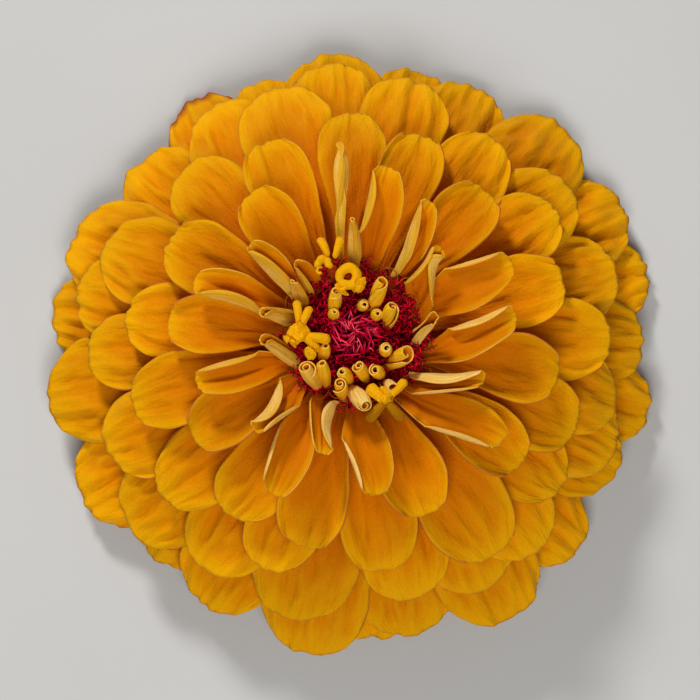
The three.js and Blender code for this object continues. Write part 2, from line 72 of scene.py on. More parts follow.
# The whorls of open petals, from the lowest up: the usual reach, the heights of the midrib's
# root, control point and tip, the turn of the margins, the lift of their very edge, and
# petals as (azimuth, reach, width)
OPEN_WHORLS = [
    (51, 14.6, 16.6, 2.6, -9, -0.3, [
        (16.5, 51.4, 14), (78, 50.4, 15), (123, 51.4, 15), (172, 52, 16), (226, 48, 15),
        (274.5, 48.2, 14), (318, 49.4, 15), (349, 50, 14)]),
    (50, 15.6, 18.8, 4.6, -10, -0.3, [
        (2, 48, 16), (29, 51.4, 16), (66, 49.6, 17), (110, 48.6, 15), (139, 48.2, 16),
        (208, 51.4, 18), (240, 48.8, 17), (282, 48.4, 17), (335, 47.6, 15)]),
    (51, 16.6, 21.0, 6.2, -10, -0.3, [
        (47, 52.3, 18), (94.5, 50.4, 18), (157, 51.2, 18), (189, 51.5, 18), (261, 51, 18),
        (300.5, 51.3, 18)]),
    (46.5, 17.6, 23.1, 10.8, -10, -0.25, [
        (17, 45.4, 15), (95, 48, 15), (120, 47.8, 16), (168, 47.3, 15), (219, 47.5, 17),
        (257, 46.2, 18), (299.5, 46, 16), (339, 46.4, 16)]),
    (44.5, 18.6, 25.3, 13.9, -8, -0.1, [
        (37, 44.3, 15), (78, 45.8, 15), (107.5, 46, 16), (134, 41, 13.4), (158, 44.8, 15.2),
        (181.5, 44, 12.6), (203, 45, 15), (236.5, 44.6, 15), (283, 43, 15), (312, 45.4, 15),
        (348, 44.8, 14)]),
    (40.5, 19.6, 27.5, 18.1, -6, 0.2, [
        (1, 42, 14), (34, 39.9, 13), (56, 41.2, 13.6), (91, 38.8, 11.4), (174, 37.8, 13),
        (219, 40.3, 13.6), (249, 40.3, 12.6), (325, 41.5, 13.6)]),
    (37, 20.7, 29.5, 22.0, 6, 0.45, [
        (16, 35.5, 12), (72, 35.8, 10.4), (115, 36.2, 11), (152, 34.9, 12.2), (196, 37.8, 12.2),
        (235, 35.6, 12), (277, 38.4, 12.7), (303, 41.8, 15), (338.5, 39, 13)]),
    (32, 21.9, 31.2, 26.4, 20, 0.5, [
        (48, 32.5, 10.6), (126, 29.3, 9.8), (176, 30.4, 9.8), (212, 31, 9.8), (256, 35, 11.4),
        (292, 31.2, 11.2), (323, 34, 10.9), (349, 33.6, 11.2)]),
]

# The whorls of young petals: the reach and height of the root, the heights of the control
# point and tip, and petals as (azimuth, reach, width, sweep, clockwise margin, other margin).
# A margin is folded over by an angle, on a breadth, from one share of the length to another.
YOUNG_WHORLS = [
    (7.0, 23.3, 33.8, 31.5, [
        (5.5, 26.2, 8.0, 30, (60, 0.5, 0.4, 1.0), (165, 1.6, 0.4, 0.98)),
        (24, 27.8, 9.0, 2, (25, 0.5, 0.4, 1.0), (150, 1.2, 0.5, 0.98)),
        (78.8, 27.5, 7.8, 0, (20, 0.5, 0.4, 1.0), (160, 1.7, 0.42, 0.97)),
        (94.5, 31.2, 5.4, -8, (172, 1.5, -0.6, 1.5), (172, 1.95, -0.6, 1.5)),
        (162, 27.3, 7.4, 3, (45, 0.5, 0.4, 1.0), (165, 2.0, 0.38, 0.98)),
        (197.5, 26.7, 7.2, -5, (160, 1.4, 0.42, 1.02), (30, 0.5, 0.4, 1.0)),
        (243, 29.2, 8, 8, (140, 0.9, 0.5, 1.0), (20, 0.5, 0.4, 1.0)),
        (277.5, 26.4, 8.4, 8, (145, 1.2, 0.5, 1.0), (40, 0.5, 0.4, 1.0)),
        (324, 29.5, 8.6, 20, (145, 1.2, 0.5, 1.0), (20, 0.5, 0.4, 1.0))]),
    (8.0, 24.6, 34.5, 35.0, [
        (43.5, 19.4, 7.4, 28, (165, 2.1, 0.46, 0.98), (160, 1.3, 0.3, 0.98)),
        (59.5, 24.3, 6.6, 4, (70, 0.5, 0.4, 1.0), (168, 2.4, 0.14, 0.96)),
        (140.4, 22, 6.2, -12, (45, 0.5, 0.3, 1.0), (168, 2.3, 0.12, 0.98)),
        (225, 22.8, 6.6, 8, (168, 2.1, 0.4, 0.98), (145, 1.0, 0.45, 0.98)),
        (255, 20.6, 6.6, 14, (110, 0.6, 0.3, 0.98), (168, 2.2, 0.25, 0.92)),
        (338.7, 22.3, 7.4, 26, (120, 0.9, 0.35, 0.98), (168, 2.8, 0.15, 0.97))]),
    (8.9, 25.6, 31.5, 36.0, [
        (9, 13.6, 6.8, 18, (155, 1.3, -0.4, 1.04), (160, 1.5, -0.4, 1.04)),
        (91.5, 18.5, 5.4, 0, (172, 1.4, -0.4, 1.2), (172, 2.0, -0.4, 1.25)),
        (130, 15, 4.8, -6, (25, 0.5, 0.0, 1.0), (160, 1.4, -0.4, 1.0)),
        (142, 13.4, 5, -17, (172, 1.3, -0.5, 1.3), (172, 1.9, -0.5, 1.3)),
        (169, 16, 6.0, 0, (150, 1.0, -0.3, 1.1), (168, 2.5, -0.4, 1.06)),
        (186, 15.6, 5, -34, (60, 0.6, -0.3, 1.0), (170, 2.5, -0.4, 1.02))]),
]

# How finely a blade is drawn, and the round of its end
OPEN_COLUMNS = 30
YOUNG_COLUMNS = 36
BLADE_ROWS = 44
TIP_CROWDING = 0.3
RELIEF_SPAN = 1.2
OPEN_TIP = (0.95, math.radians(37))
ROUND_TIP = (1.2, math.radians(52))
ROUND_FROM_WHORL = 5
YOUNG_TIP = (1.7, math.radians(60))
BUD_TIP = (1.9, math.radians(72))
SLIM_WIDTH = 6

# The petal whose margin is reddened, and the side on which young petals get painted
# shade and light: there a back is fuller and greener, and a face a touch lighter
BLUSHED_AZIMUTH = 123
SHADY_AZIMUTH = 120

# How many veins lie side by side on a pale back
BACK_VEINS = 13.0

# How a young petal's margin is folded over: the crease's half breadth and its share of the
# turn, the most of the half width that is folded, the turns of the rest of the blade, and
# its thickness as a share of an open petal's
FOLD_STEPS = 24
CREASE_HALF = 0.34
CREASE_TURN = 0.74
FLAP_MOST = 0.8
SETTLED_TURN = math.radians(12)
CUPPED_TURN = 0.35
YOUNG_WALL_SHARE = 0.7

# Rolled rays standing in the disc: (azimuth, reach and radius of the open end, how far it
# stands along X and Y from where the ray leaves the disc, height, seam, turns of the roll,
# girth of the lip, twist of the seam, stand of the flap).
ROLLED_RAYS = [
    (114.8, 7.2, 0.95, 0.4, 2.4, 35.6, 250, 1.8, 0.42, -60, 0.05),
    (136.5, 4.6, 0.78, 0.2, 0.3, 34.7, 300, 1.6, 0.04, 0, 0.0),
    (70, 4.6, 0.84, 0.5, -0.2, 35.0, 20, 1.7, 0.06, 0, 0.0),
    (61.8, 9.4, 1.15, 1.4, 3.4, 36.0, 60, 1.25, 0.38, 200, 0.05),
    (38.9, 4.7, 0.82, 0.4, 0.2, 34.8, 330, 1.6, 0.04, 0, 0.0),
    (34.1, 7.3, 1.15, 0.7, 2.1, 35.6, 150, 1.25, 0.35, 200, 0.05),
    (331.5, 5.8, 0.92, 0.2, 0.1, 35.2, 60, 1.9, 0.16, 0, 0.1),
    (337.9, 9.3, 1.3, 2.3, 1.0, 35.6, 110, 1.2, 0.7, 160, 0.1),
    (297.1, 7.1, 1.0, -0.8, 0.2, 35.6, 60, 1.8, 0.3, 60, 0.5),
    (275.6, 5.5, 0.95, -1.0, 1.4, 35.8, 120, 1.7, 0.35, 20, 0.8),
    (251.5, 6.9, 1.0, -1.0, 0.7, 35.6, 160, 1.8, 0.08, 0, 0.0),
    (253.3, 8.8, 1.05, -0.4, 1.0, 35.8, 200, 1.8, 0.36, 20, 0.8),
    (223.6, 7.4, 0.95, -0.6, 2.1, 35.6, 40, 1.7, 0.2, 40, 0.1),
    (216, 10.0, 1.25, -1.4, 1.7, 36.0, 330, 1.9, 0.6, -40, 0.6),
    (206.2, 5.2, 0.85, 0.4, 1.4, 35.0, 90, 1.7, 0.12, 0, 0.0),
    (302.4, 11.2, 1.1, 0.9, -1.2, 36.0, 110, 1.2, 0.7, 120, 0.9),
    (278.6, 12.5, 1.3, 1.8, -2.6, 36.2, 100, 1.7, 0.42, 40, 0.05),
]
ROLL_ROOT_HEIGHT = 26.0
ROLL_BARE_FROM = 0.6
ROLL_COLUMNS = 44
ROLL_ROWS = 22
ROLL_CROWDING = 0.6
ROLL_ROUND_FROM = 0.75
ROLL_WALL = 0.2 * MM

# Open florets: azimuth and reach of the heart, lobes as (turn, how far out it starts,
# length, width, droop), curled lobes as (middle along X and Y from the heart, start of the
# curl, its sweep, its radius, girth)
STAR_FLORETS = [
    (97.6, 8.9, [
        (238, 1.1, 1.9, 1.9, 0.0), (318, 1.1, 2.2, 2.1, 0.1)],
     [(0.1, 0, 195, 395, 1.38, 0.8)]),
    (110, 11.0, [(108, 1.8, 3.5, 1.35, 0.3), (72, 1.5, 3.8, 1.3, 0.5)],
     [(-1.4, 0.1, -20, 215, 1.05, 0.62), (-1.9, -0.5, 40, 280, 0.45, 0.26)]),
    (184, 9.0, [
        (72, 1.2, 3.8, 1.3, 0.3), (92, 1.4, 4.3, 1.3, 0.4), (352, 0.9, 4.2, 1.6, 0.2),
        (328, 0.7, 3.4, 1.3, 0.6), (298, 2.3, 2.3, 1.2, 0.4), (150, -1.3, 3.3, 2.3, 0.0),
        (218, -0.9, 2.9, 1.9, 0.2), (40, -0.5, 2.4, 1.9, 0.1), (203, 0.7, 1.9, 1.0, 0.3)],
     []),
    (293, 12.4, [
        (139, -0.2, 4.0, 1.9, 0.2), (75, -0.6, 3.0, 2.2, 0.1), (45, 1.0, 3.9, 1.4, 0.3),
        (229, -0.4, 4.6, 1.6, 1.3), (312, -0.3, 4.5, 1.5, 1.2)],
     []),
]
STAR_HEIGHT = 35.0
LOBE_THICKNESS_SHARE = 0.72
SHORT_LOBE = 3.35
CURL_STEPS = 28
THROAT_ROOT_HEIGHT = 28.0
STYLE_COUNT = 12
STYLE_STEPS = 12
STYLE_FOOT_HEIGHT = 29.6

# The disc, as in the frame, and the crimson bracts over it
BOWL_RADIUS = 9.0
DISC_TOP = 33.2
DISC_DROOP = 0.046
DISC_FLOOR_DEPTH = 1.3
BED_RADIUS = BOWL_RADIUS + 0.8
BED_FLOOR_HEIGHT = 28.3
FRINGE_REACH = 12.4
SWIRL_REACH = 5.4
SWIRL_COUNT = 125
SWIRL = 34
SWIRL_WALL = 0.09 * MM
FRINGE_BEND_REACH = 9.4
RAY_OVERLAP = 0.3

# The core, the involucre and the stub, as in the frame
CORE_PROFILE = [
    (0, 13.5), (10.8, 13.5), (10.8, 24.0), (9.5, 28.8), (9.0, 28.2), (4.5, 29.7), (0, 30.3)]
STUB_RADIUS = 3.3
STUB_FLARE_RADIUS = 4.1
STUB_HEIGHT = 4.0
STUB_FACE_RADIUS = 2.6
STUB_RIBS = 14
STUB_RIB_HALF_DEPTH = 0.07
INVOLUCRE_SIDE = [(4.1, 4.3), (7.6, 5.5), (10.2, 8.3), (11.5, 11.3), (12.0, 13.2)]
INVOLUCRE_TOP = [(10.5, 13.4), (0, 13.4)]

# The rows of green bracts: how many, their width, and the shares of the involucre's side at
# which they start and end
BRACT_ROWS = [
    (7, 6.4, 0.02, 0.42), (8, 7.4, 0.22, 0.62), (9, 8.0, 0.42, 0.84), (11, 7.2, 0.62, 1.04)]
BRACT_LIFT = 0.7
FRINGE_TEETH = 22

# Colours that no setting holds, mostly a light and a dark one to be speckled between
BLUSH_RED = (0.30, 0.014, 0.018, 1)
CORE_COLOURS = (0.46, 0.09, 0.003, 1), (0.26, 0.03, 0.003, 1)
YOUNG_RIM_COLOURS = (0.98, 0.51, 0.10, 1), (0.92, 0.44, 0.03, 1)
ROLL_INSIDE_COLOURS = (1.0, 0.46, 0.003, 1), (0.95, 0.28, 0.002, 1)
ROLL_FOOT = (0.56, 0.22, 0.004, 1)
# Painted shade: the brown of the open florets' lobes that hang down.
HANGING_LOBE_SHADE = (0.46, 0.17, 0.002, 1)
THROAT_COLOURS = (0.42, 0.06, 0.004, 1), (0.30, 0.01, 0.006, 1)
# The disc bed: partly the receptacle's own dark crimson, partly painted shade in the gaps between
# the bracts.
DISC_COLOURS = (0.14, 0.001, 0.005, 1), (0.05, 0.001, 0.002, 1)
BRACT_PINK = (0.98, 0.27, 0.25, 1)
STALK_HAIR_COLOURS = (0.55, 0.58, 0.34, 1), (0.40, 0.45, 0.22, 1)
ROOM_COLOUR = (1, 0.99, 0.97, 1)

# The photograph's view
VIEW_ELEVATION = math.radians(83)
VIEW_DISTANCE = 0.9
VIEW_TARGET = Vector((-0.8, -0.61, 14.92)) * MM
VIEW_LENS = 281.4
SENSOR_WIDTH = 36.0

# The stage, in metres
FLOOR_REACH = 1.6
FLOOR_DROP = 0.00005
KEY_PLACE = Vector((-0.28, 0.66, 0.54))
KEY_SIZE = 0.16
FILL_PLACE = Vector((0.02, -0.48, 0.80))
FILL_SIZE = 0.5


def share_of(value, low, high):
    """How far a value has come from low to high, held between 0 and 1."""
    return min(1.0, max(0.0, (value - low) / (high - low)))


def smooth(value, low, high):
    """The smooth step of a value from low to high, from 0 to 1."""
    share = share_of(value, low, high)
    return share * share * (3 - 2 * share)


def between(low, high, share):
    return low + (high - low) * share


def curved(start, control, end, t):
    """A point of a quadratic curve, for numbers or vectors."""
    return start * (1 - t) ** 2 + control * (2 * (1 - t) * t) + end * t ** 2


def polar(azimuth, reach, height):
    angle = math.radians(azimuth)
    return Vector((reach * math.cos(angle), reach * math.sin(angle), height))


def out_and_aside(azimuth):
    """The level directions straight out at an azimuth, and square to that."""
    return polar(azimuth, 1, 0), polar(azimuth + 90, 1, 0)


def vary(index, salt):
    """A repeatable spread of values from -0.5 to 0.5."""
    return (index * GOLDEN_TURN + salt) % 1 - 0.5


def grain(x, y, z=0.0):
    """Smooth noise at a place, from -1 to 1."""
    return noise.noise(Vector((x, y, z)))


# Settings


def colour_setting(name, description, red, green, blue):
    return FloatVectorProperty(
        name=name, description=description, subtype="COLOR", size=4, min=0, max=1,
        default=(red, green, blue, 1))


def length_setting(name, description, default):
    return FloatProperty(
        name=name, description=description, default=default, min=0, max=0.003, precision=5,
        unit="LENGTH")


def count_setting(name, description, default):
    return IntProperty(name=name, description=description, default=default, min=3, max=900)


def power_setting(name, description, default):
    return FloatProperty(
        name=name, description=description, default=default, min=0, max=100, unit="POWER")


class ZinniaPetalSettings(bpy.types.PropertyGroup):
    """Sizes and colours of the ray petals."""

    thickness: length_setting("Thickness", "Thickness of a petal", 0.00032)
    ridge: length_setting("Ridges", "Height of an outer petal's lengthwise ridges", 0.00045)
    wave: length_setting("Margin waves", "Height of an outer petal's margin waves", 0.0004)
    nick: length_setting("Nicks", "Depth of the nicks in an outer petal's end", 0.0005)
    gold: colour_setting("Gold", "Colour of the open blade", 0.94, 0.405, 0.0008)
    # The orange is the blade's own in its middle, and painted shade in the troughs of its relief.
    orange: colour_setting("Orange", "Colour of the middle and troughs", 0.76, 0.215, 0.0004)
    # The claw colour is partly the blade's own, and partly painted shade under the next whorl and
    # down in the cup.
    claw: colour_setting("Claw", "Colour towards the claw", 0.67, 0.152, 0.0005)
    margin: colour_setting("Margin", "Colour of the margins", 0.97, 0.465, 0.0015)
    edge: colour_setting("Edge line", "Colour of the cut-thin edge", 0.62, 0.19, 0.045)
    back: colour_setting("Back", "Colour of the pale back", 1.0, 0.65, 0.19)
    back_full: colour_setting("Full back", "Colour of the shaded backs", 0.88, 0.43, 0.016)
    back_vein: colour_setting("Back veins", "Greenish veins of the back", 0.60, 0.42, 0.015)


class ZinniaDiscSettings(bpy.types.PropertyGroup):
    """Sizes and colours of the disc and its florets."""

    bract_count: count_setting("Bracts", "Crimson bracts of the disc", 330)
    hair_count: count_setting("Fringe hairs", "Hairs in the fringe of an outer bract", 12)
    magenta: colour_setting("Magenta", "Colour of the inner bracts' tips", 0.80, 0.007, 0.062)
    crimson: colour_setting("Crimson", "Colour of the fringes", 0.78, 0.003, 0.028)
    cream: colour_setting("Cream", "Colour of a rolled ray's outside", 1.0, 0.68, 0.20)
    bud: colour_setting("Bud yellow", "Outside of a ray that is still shut", 0.98, 0.53, 0.005)
    star: colour_setting("Star yellow", "Colour of the open florets' lobes", 1.0, 0.46, 0.003)
    thread: colour_setting("Style orange", "Colour of the styles' threads", 0.52, 0.15, 0.003)


class ZinniaGreenSettings(bpy.types.PropertyGroup):
    """Sizes and colours of the involucre and the stalk."""

    bract_thickness: length_setting("Bract thickness", "Thickness of a green bract", 0.0004)
    stalk_hairs: count_setting("Stalk hairs", "Stiff hairs on the stub", 260)
    green: colour_setting("Bract green", "Colour of the involucre's bracts", 0.15, 0.24, 0.04)
    fringe: colour_setting("Fringe brown", "Colour of the bracts' fringe", 0.045, 0.018, 0.012)
    stalk: colour_setting("Stalk green", "Colour of the stub", 0.20, 0.30, 0.06)
    pith: colour_setting("Pith", "Colour of the stub's cut face", 0.62, 0.66, 0.34)


class ZinniaStageSettings(bpy.types.PropertyGroup):
    """The floor and the lights."""

    floor: colour_setting("Floor", "Colour of the pale floor", 0.66, 0.65, 0.63)
    key: power_setting("Key light", "Power of the soft light from beyond", 4.75)
    fill: power_setting("Fill light", "Power of the weak light from the near side", 4.8)
    sky: FloatProperty(
        name="Room light", description="Strength of the light from all round", default=0.12,
        min=0, max=2)


# Node tools


class Bench:
    """Places and links the nodes of one tree."""

    def __init__(self, tree):
        self.tree = tree

    def feed(self, socket, source):
        if isinstance(source, bpy.types.NodeSocket):
            self.tree.links.new(source, socket)
        else:
            socket.default_value = source

    def add(self, kind, feeds=None, **traits):
        node = self.tree.nodes.new("ShaderNode" + kind)
        for trait, value in traits.items():
            setattr(node, trait, value)
        for name, source in (feeds or {}).items():
            self.feed(node.inputs[name], source)
        return node

    def maths(self, operation, *sources):
        node = self.add("Math", operation=operation)
        for socket, source in zip(node.inputs, sources):
            self.feed(socket, source)
        return node.outputs[0]

    def plus(self, first, second):
        return self.maths("ADD", first, second)

    def less(self, first, second):
        return self.maths("SUBTRACT", first, second)

    def times(self, first, second):
        return self.maths("MULTIPLY", first, second)

    def span(self, value, low, high, to_low=0.0, to_high=1.0):
        """A value mapped smoothly from low..high to another range, and held there."""
        feeds = {"From Min": low, "From Max": high, "To Min": to_low, "To Max": to_high}
        node = self.add("MapRange", feeds, interpolation_type="SMOOTHSTEP")
        self.feed(node.inputs["Value"], value)
        return node.outputs["Result"]

    def blend(self, share, low, high, mode="MIX"):
        node = self.add("Mix", data_type="RGBA", blend_type=mode)
        sockets = {socket.identifier: socket for socket in node.inputs}
        self.feed(sockets["Factor_Float"], share)
        self.feed(sockets["A_Color"], low)
        self.feed(sockets["B_Color"], high)
        return next(s for s in node.outputs if s.identifier == "Result_Color")

    def layered(self, colour, *layers):
        """A colour with others over it, each by its own share."""
        for share, over in layers:
            colour = self.blend(share, colour, over)
        return colour

    def shaded(self, colour, shade):
        return self.blend(1.0, colour, self.vector(shade, shade, shade), "MULTIPLY")

    def cloud(self, place, scale, detail, roughness):
        feeds = {"Vector": place, "Scale": scale, "Detail": detail, "Roughness": roughness}
        return self.add("TexNoise", feeds).outputs["Fac"]

    def vector(self, x, y, z):
        return self.add("CombineXYZ", {"X": x, "Y": y, "Z": z}).outputs[0]

    def place(self):
        return self.add("TexCoord").outputs["Object"]

    def sheet_place(self):
        """Across and along a sheet, each from 0 to 1."""
        split = self.add("SeparateXYZ", {"Vector": self.add("UVMap").outputs["UV"]})
        return split.outputs["X"], split.outputs["Y"]

    def own(self, name):
        """A value that each vertex holds: its piece's tint or blush, or its crest."""
        return self.add("Attribute", attribute_name=name).outputs["Fac"]

    def grouped(self, name, **feeds):
        """A node group's outputs. The group is built the first time that it is asked for."""
        tree = bpy.data.node_groups.get(name) or built_group(name)
        node = self.add("Group", node_tree=tree)
        for label, source in feeds.items():
            self.feed(node.inputs[label.replace("_", " ")], source)
        return node.outputs


GROUPS = {}
WHITE = (1, 1, 1, 1)


def group_filling(name, **inputs):
    """Keeps a function as what fills a node group with these inputs."""
    def keep(fill):
        GROUPS[name] = fill, inputs
        return fill

    return keep


def built_group(name):
    fill, inputs = GROUPS[name]
    tree = bpy.data.node_groups.new(name, "ShaderNodeTree")

    def new_socket(label, side, is_colour):
        kind = "NodeSocketColor" if is_colour else "NodeSocketFloat"
        return tree.interface.new_socket(label, in_out=side, socket_type=kind)

    for label, value in inputs.items():
        socket = new_socket(label.replace("_", " "), "INPUT", isinstance(value, tuple))
        socket.default_value = value
    bench = Bench(tree)
    results = fill(bench, tree.nodes.new("NodeGroupInput").outputs)
    for label in results:
        new_socket(label, "OUTPUT", label == "Color")
    leave = tree.nodes.new("NodeGroupOutput")
    for label, source in results.items():
        bench.feed(leave.inputs[label], source)
    return tree


@group_filling("lengthwise_streaks")
def lengthwise_streaks(bench, given):
    """Streaks, wrinkles and velvet that run along a sheet."""
    across, along = bench.sheet_place()
    own = bench.times(bench.own("tint"), 60.0)
    wide = bench.times(across, 10.0)
    long = bench.times(along, 5.0)
    streak = bench.cloud(bench.vector(wide, long, own), 1.0, 2.0, 0.55)
    fine_place = bench.vector(bench.times(wide, 3.1), bench.times(long, 1.7), own)
    fine = bench.cloud(fine_place, 1.0, 2.0, 0.6)
    velvet = bench.cloud(bench.place(), 3200.0, 2.0, 0.6)
    height = bench.plus(bench.times(streak, 0.70), bench.times(fine, 0.14))
    height = bench.plus(height, bench.times(velvet, 0.16))
    return {"Streak": streak, "Fine streak": fine, "Velvet": velvet, "Height": height}


@group_filling("sheet_margins", Breadth=0.2)
def sheet_margins(bench, given):
    """Masks of a sheet's margins: a broad one, and the thin line at the very edge."""
    across, along = bench.sheet_place()
    side = bench.maths("MINIMUM", across, bench.less(1.0, across))
    gap = bench.maths("MINIMUM", side, bench.times(bench.less(1.0, along), 1.3))
    return {"Margin": bench.span(gap, 0.0, given["Breadth"], 1.0, 0.0),
            "Edge": bench.span(gap, 0.0, 0.012, 1.0, 0.0)}


@group_filling("petal_face_tones", Gold=WHITE, Orange=WHITE, Margin=WHITE, Edge=WHITE,
               Claw=WHITE, Claw_from=0.2, Claw_to=0.7, Gold_at=1.0)
def petal_face_tones(bench, given):
    """A petal face's colours, from its orange claw, partly painted shade, to its golden end."""
    _, along = bench.sheet_place()
    lines = bench.grouped("lengthwise_streaks")
    margins = bench.grouped("sheet_margins")
    ragged = bench.plus(along, bench.times(bench.less(lines["Fine streak"], 0.5), 0.12))
    middle = bench.less(given["Gold at"], 0.45)
    ripe = bench.span(along, 0.1, 0.8, 0.1, 0.7)
    colour = bench.layered(
        given["Gold"],
        # Orange towards the middle: partly the blade's own, partly painted shade down in the cup.
        (bench.span(ragged, middle, given["Gold at"], 1.0, 0.0), given["Orange"]),
        # Painted shade: orange where the lengthwise streaks that make the bump sink.
        (bench.span(lines["Streak"], 0.3, 0.6, 0.24, 0.0), given["Orange"]),
        # Painted shade: orange in the troughs of the blade's relief.
        (bench.span(bench.own("crest"), 0.22, 0.56, 0.48, 0.0), given["Orange"]),
        # The claw colour: partly the blade's own, partly painted shade where the next whorl
        # covers it.
        (bench.span(ragged, given["Claw from"], given["Claw to"], 1.0, 0.0), given["Claw"]),
        (bench.times(margins["Margin"], ripe), given["Margin"]),
        (bench.times(margins["Edge"], 0.55), given["Edge"]))
    velvet = bench.span(lines["Velvet"], 0.25, 0.75, 0.93, 1.04)
    # For young petals the tint follows their side of the flower: painted light, a touch lighter
    # face.
    own = bench.span(bench.own("tint"), 0.0, 1.0, 0.93, 1.05)
    colour = bench.shaded(colour, bench.times(velvet, own))
    narrow = bench.grouped("sheet_margins", Breadth=0.07)["Margin"]
    blushed = bench.times(bench.own("blush"), narrow)
    return {"Color": bench.blend(blushed, colour, BLUSH_RED),
            "Roughness": bench.span(lines["Velvet"], 0.2, 0.8, 0.66, 0.50),
            "Height": lines["Height"]}


@group_filling("petal_back_tones", Pale=WHITE, Vein=WHITE, Full=WHITE, Edge=WHITE,
               Green_to=0.9, Own_full=0.5, Margin_full=0.75)
def petal_back_tones(bench, given):
    """The colours of a pale back: lengthwise veins and a fine tan grain."""
    across, along = bench.sheet_place()
    lines = bench.grouped("lengthwise_streaks")
    margins = bench.grouped("sheet_margins")
    bent = bench.plus(across, bench.times(lines["Streak"], 0.05))
    turn = bench.times(bench.times(bent, BACK_VEINS), 2 * math.pi)
    vein = bench.span(bench.maths("SINE", turn), 0.35, 1.0)
    # Painted shade: for young petals the tint follows their side, so a back there takes more of
    # the full colour and of the green.
    rim = bench.plus(given["Own full"], bench.times(margins["Margin"], given["Margin full"]))
    rim = bench.times(rim, bench.span(bench.own("tint"), 0.0, 0.9))
    green = bench.times(bench.span(along, 0.15, given["Green to"], 0.45, 0.0),
                        bench.span(bench.own("tint"), 0.0, 1.0, 0.3, 1.3))
    colour = bench.layered(
        given["Pale"],
        (bench.plus(bench.span(lines["Streak"], 0.35, 0.7, -0.05, 0.4), rim), given["Full"]),
        (bench.plus(green, bench.times(vein, 0.2)), given["Vein"]),
        (bench.span(lines["Velvet"], 0.42, 0.72, 0.0, 0.25), given["Edge"]),
        (bench.times(margins["Edge"], 0.5), given["Edge"]))
    return {"Color": colour, "Roughness": bench.span(lines["Velvet"], 0.2, 0.8, 0.7, 0.5),
            "Height": bench.plus(lines["Height"], bench.times(vein, 0.35))}


@group_filling("fleshy_grain", Size=3000.0, Patches=400.0)
def fleshy_grain(bench, given):
    """Speckle and small bumps of a fleshy surface."""
    speckle = bench.cloud(bench.place(), given["Size"], 3.0, 0.65)
    patch = bench.cloud(bench.place(), given["Patches"], 2.0, 0.5)
    cells = bench.add("TexVoronoi", {"Vector": bench.place(), "Scale": given["Size"]})
    height = bench.plus(bench.times(speckle, 0.5), bench.times(cells.outputs["Distance"], 0.6))
    return {"Speckle": speckle, "Patch": patch, "Height": height}


# Finishes


def finish(name, tones, strength, depth, **constants):
    """A material whose colour, roughness and bump come from tones(bench)."""
    made = bpy.data.materials.get(name)
    if made:
        return made
    made = bpy.data.materials.new(name)
    made.use_nodes = True
    bench = Bench(made.node_tree)
    surface = made.node_tree.nodes["Principled BSDF"]
    for label, value in constants.items():
        surface.inputs[label.replace("_", " ")].default_value = value
    out = tones(bench)
    bench.feed(surface.inputs["Base Color"], out["Color"])
    bench.feed(surface.inputs["Roughness"], out["Roughness"])
    bump = bench.add("Bump", {"Height": out["Height"], "Strength": strength, "Distance": depth})
    bench.feed(surface.inputs["Normal"], bump.outputs["Normal"])
    return made


VELVET = {"Sheen_Weight": 0.07, "Sheen_Roughness": 0.5, "Sheen_Tint": (1.0, 0.62, 0.06, 1),
          "Specular_IOR_Level": 0.12, "Specular_Tint": (1.0, 0.55, 0.12, 1)}
CRIMSON_GLOSS = {"Specular_IOR_Level": 0.12, "Specular_Tint": (1.0, 0.12, 0.2, 1)}


def cup_shaded(colour, share):
    """A petal colour made darker, and redder with it: painted shade, deep in the cup."""
    red, green, blue = colour[:3]
    return red * share, green * share ** 1.45, blue * share, 1.0


def darker(colour, share):
    return tuple(part * share for part in colour[:3]) + (1.0,)


# The depth is how far a face is darkened and reddened: painted shade deep in the cup.
def petal_face(settings, name, depth, claw_from, claw_to, gold_at, relief):
    def tones(bench):
        return bench.grouped(
            "petal_face_tones", Gold=cup_shaded(settings.gold, depth),
            Orange=cup_shaded(settings.orange, depth), Margin=cup_shaded(settings.margin, depth),
            Claw=cup_shaded(settings.claw, depth), Edge=settings.edge, Claw_from=claw_from,
            Claw_to=claw_to, Gold_at=gold_at)

    return finish(name, tones, 0.7, relief, **VELVET)


def petal_back(settings, name, pale, full, vein, green_to, own_full=0.5, margin_full=0.75):
    def tones(bench):
        return bench.grouped(
            "petal_back_tones", Pale=pale, Full=full, Vein=vein, Edge=settings.edge,
            Green_to=green_to, Own_full=own_full, Margin_full=margin_full)

    return finish(name, tones, 0.5, 0.00025, **VELVET)


def grained(bench, colour, flesh, smoothest, roughest):
    """What a finish is made of, with a roughness and bumps that follow its fleshy grain."""
    return {"Color": colour, "Height": flesh["Height"],
            "Roughness": bench.span(flesh["Speckle"], 0.2, 0.8, smoothest, roughest)}


def fleshy(name, light, dark, size, patches, strength=0.4, depth=0.0002, **constants):
    """A plain fleshy material, speckled between two colours."""
    def tones(bench):
        flesh = bench.grouped("fleshy_grain", Size=size, Patches=patches)
        share = bench.plus(bench.span(flesh["Speckle"], 0.3, 0.7, 0.0, 0.5),
                           bench.span(flesh["Patch"], 0.3, 0.7, 0.0, 0.5))
        return grained(bench, bench.blend(share, light, dark), flesh, 0.55, 0.72)

    return finish(name, tones, strength, depth, **constants)


# Mesh tools


def blank_mesh():
    bm = bmesh.new()
    bm.loops.layers.uv.new("sheet")
    for name in ("tint", "blush", "crest"):
        bm.verts.layers.float.new(name)
    return bm


def mark(bm, verts, tint, blush=0.0):
    """Gives vertices their own tint and blush, and a level relief."""
    layers = bm.verts.layers.float
    marks = ((layers["tint"], tint), (layers["blush"], blush), (layers["crest"], 0.5))
    for vert in verts:
        for layer, value in marks:
            vert[layer] = value


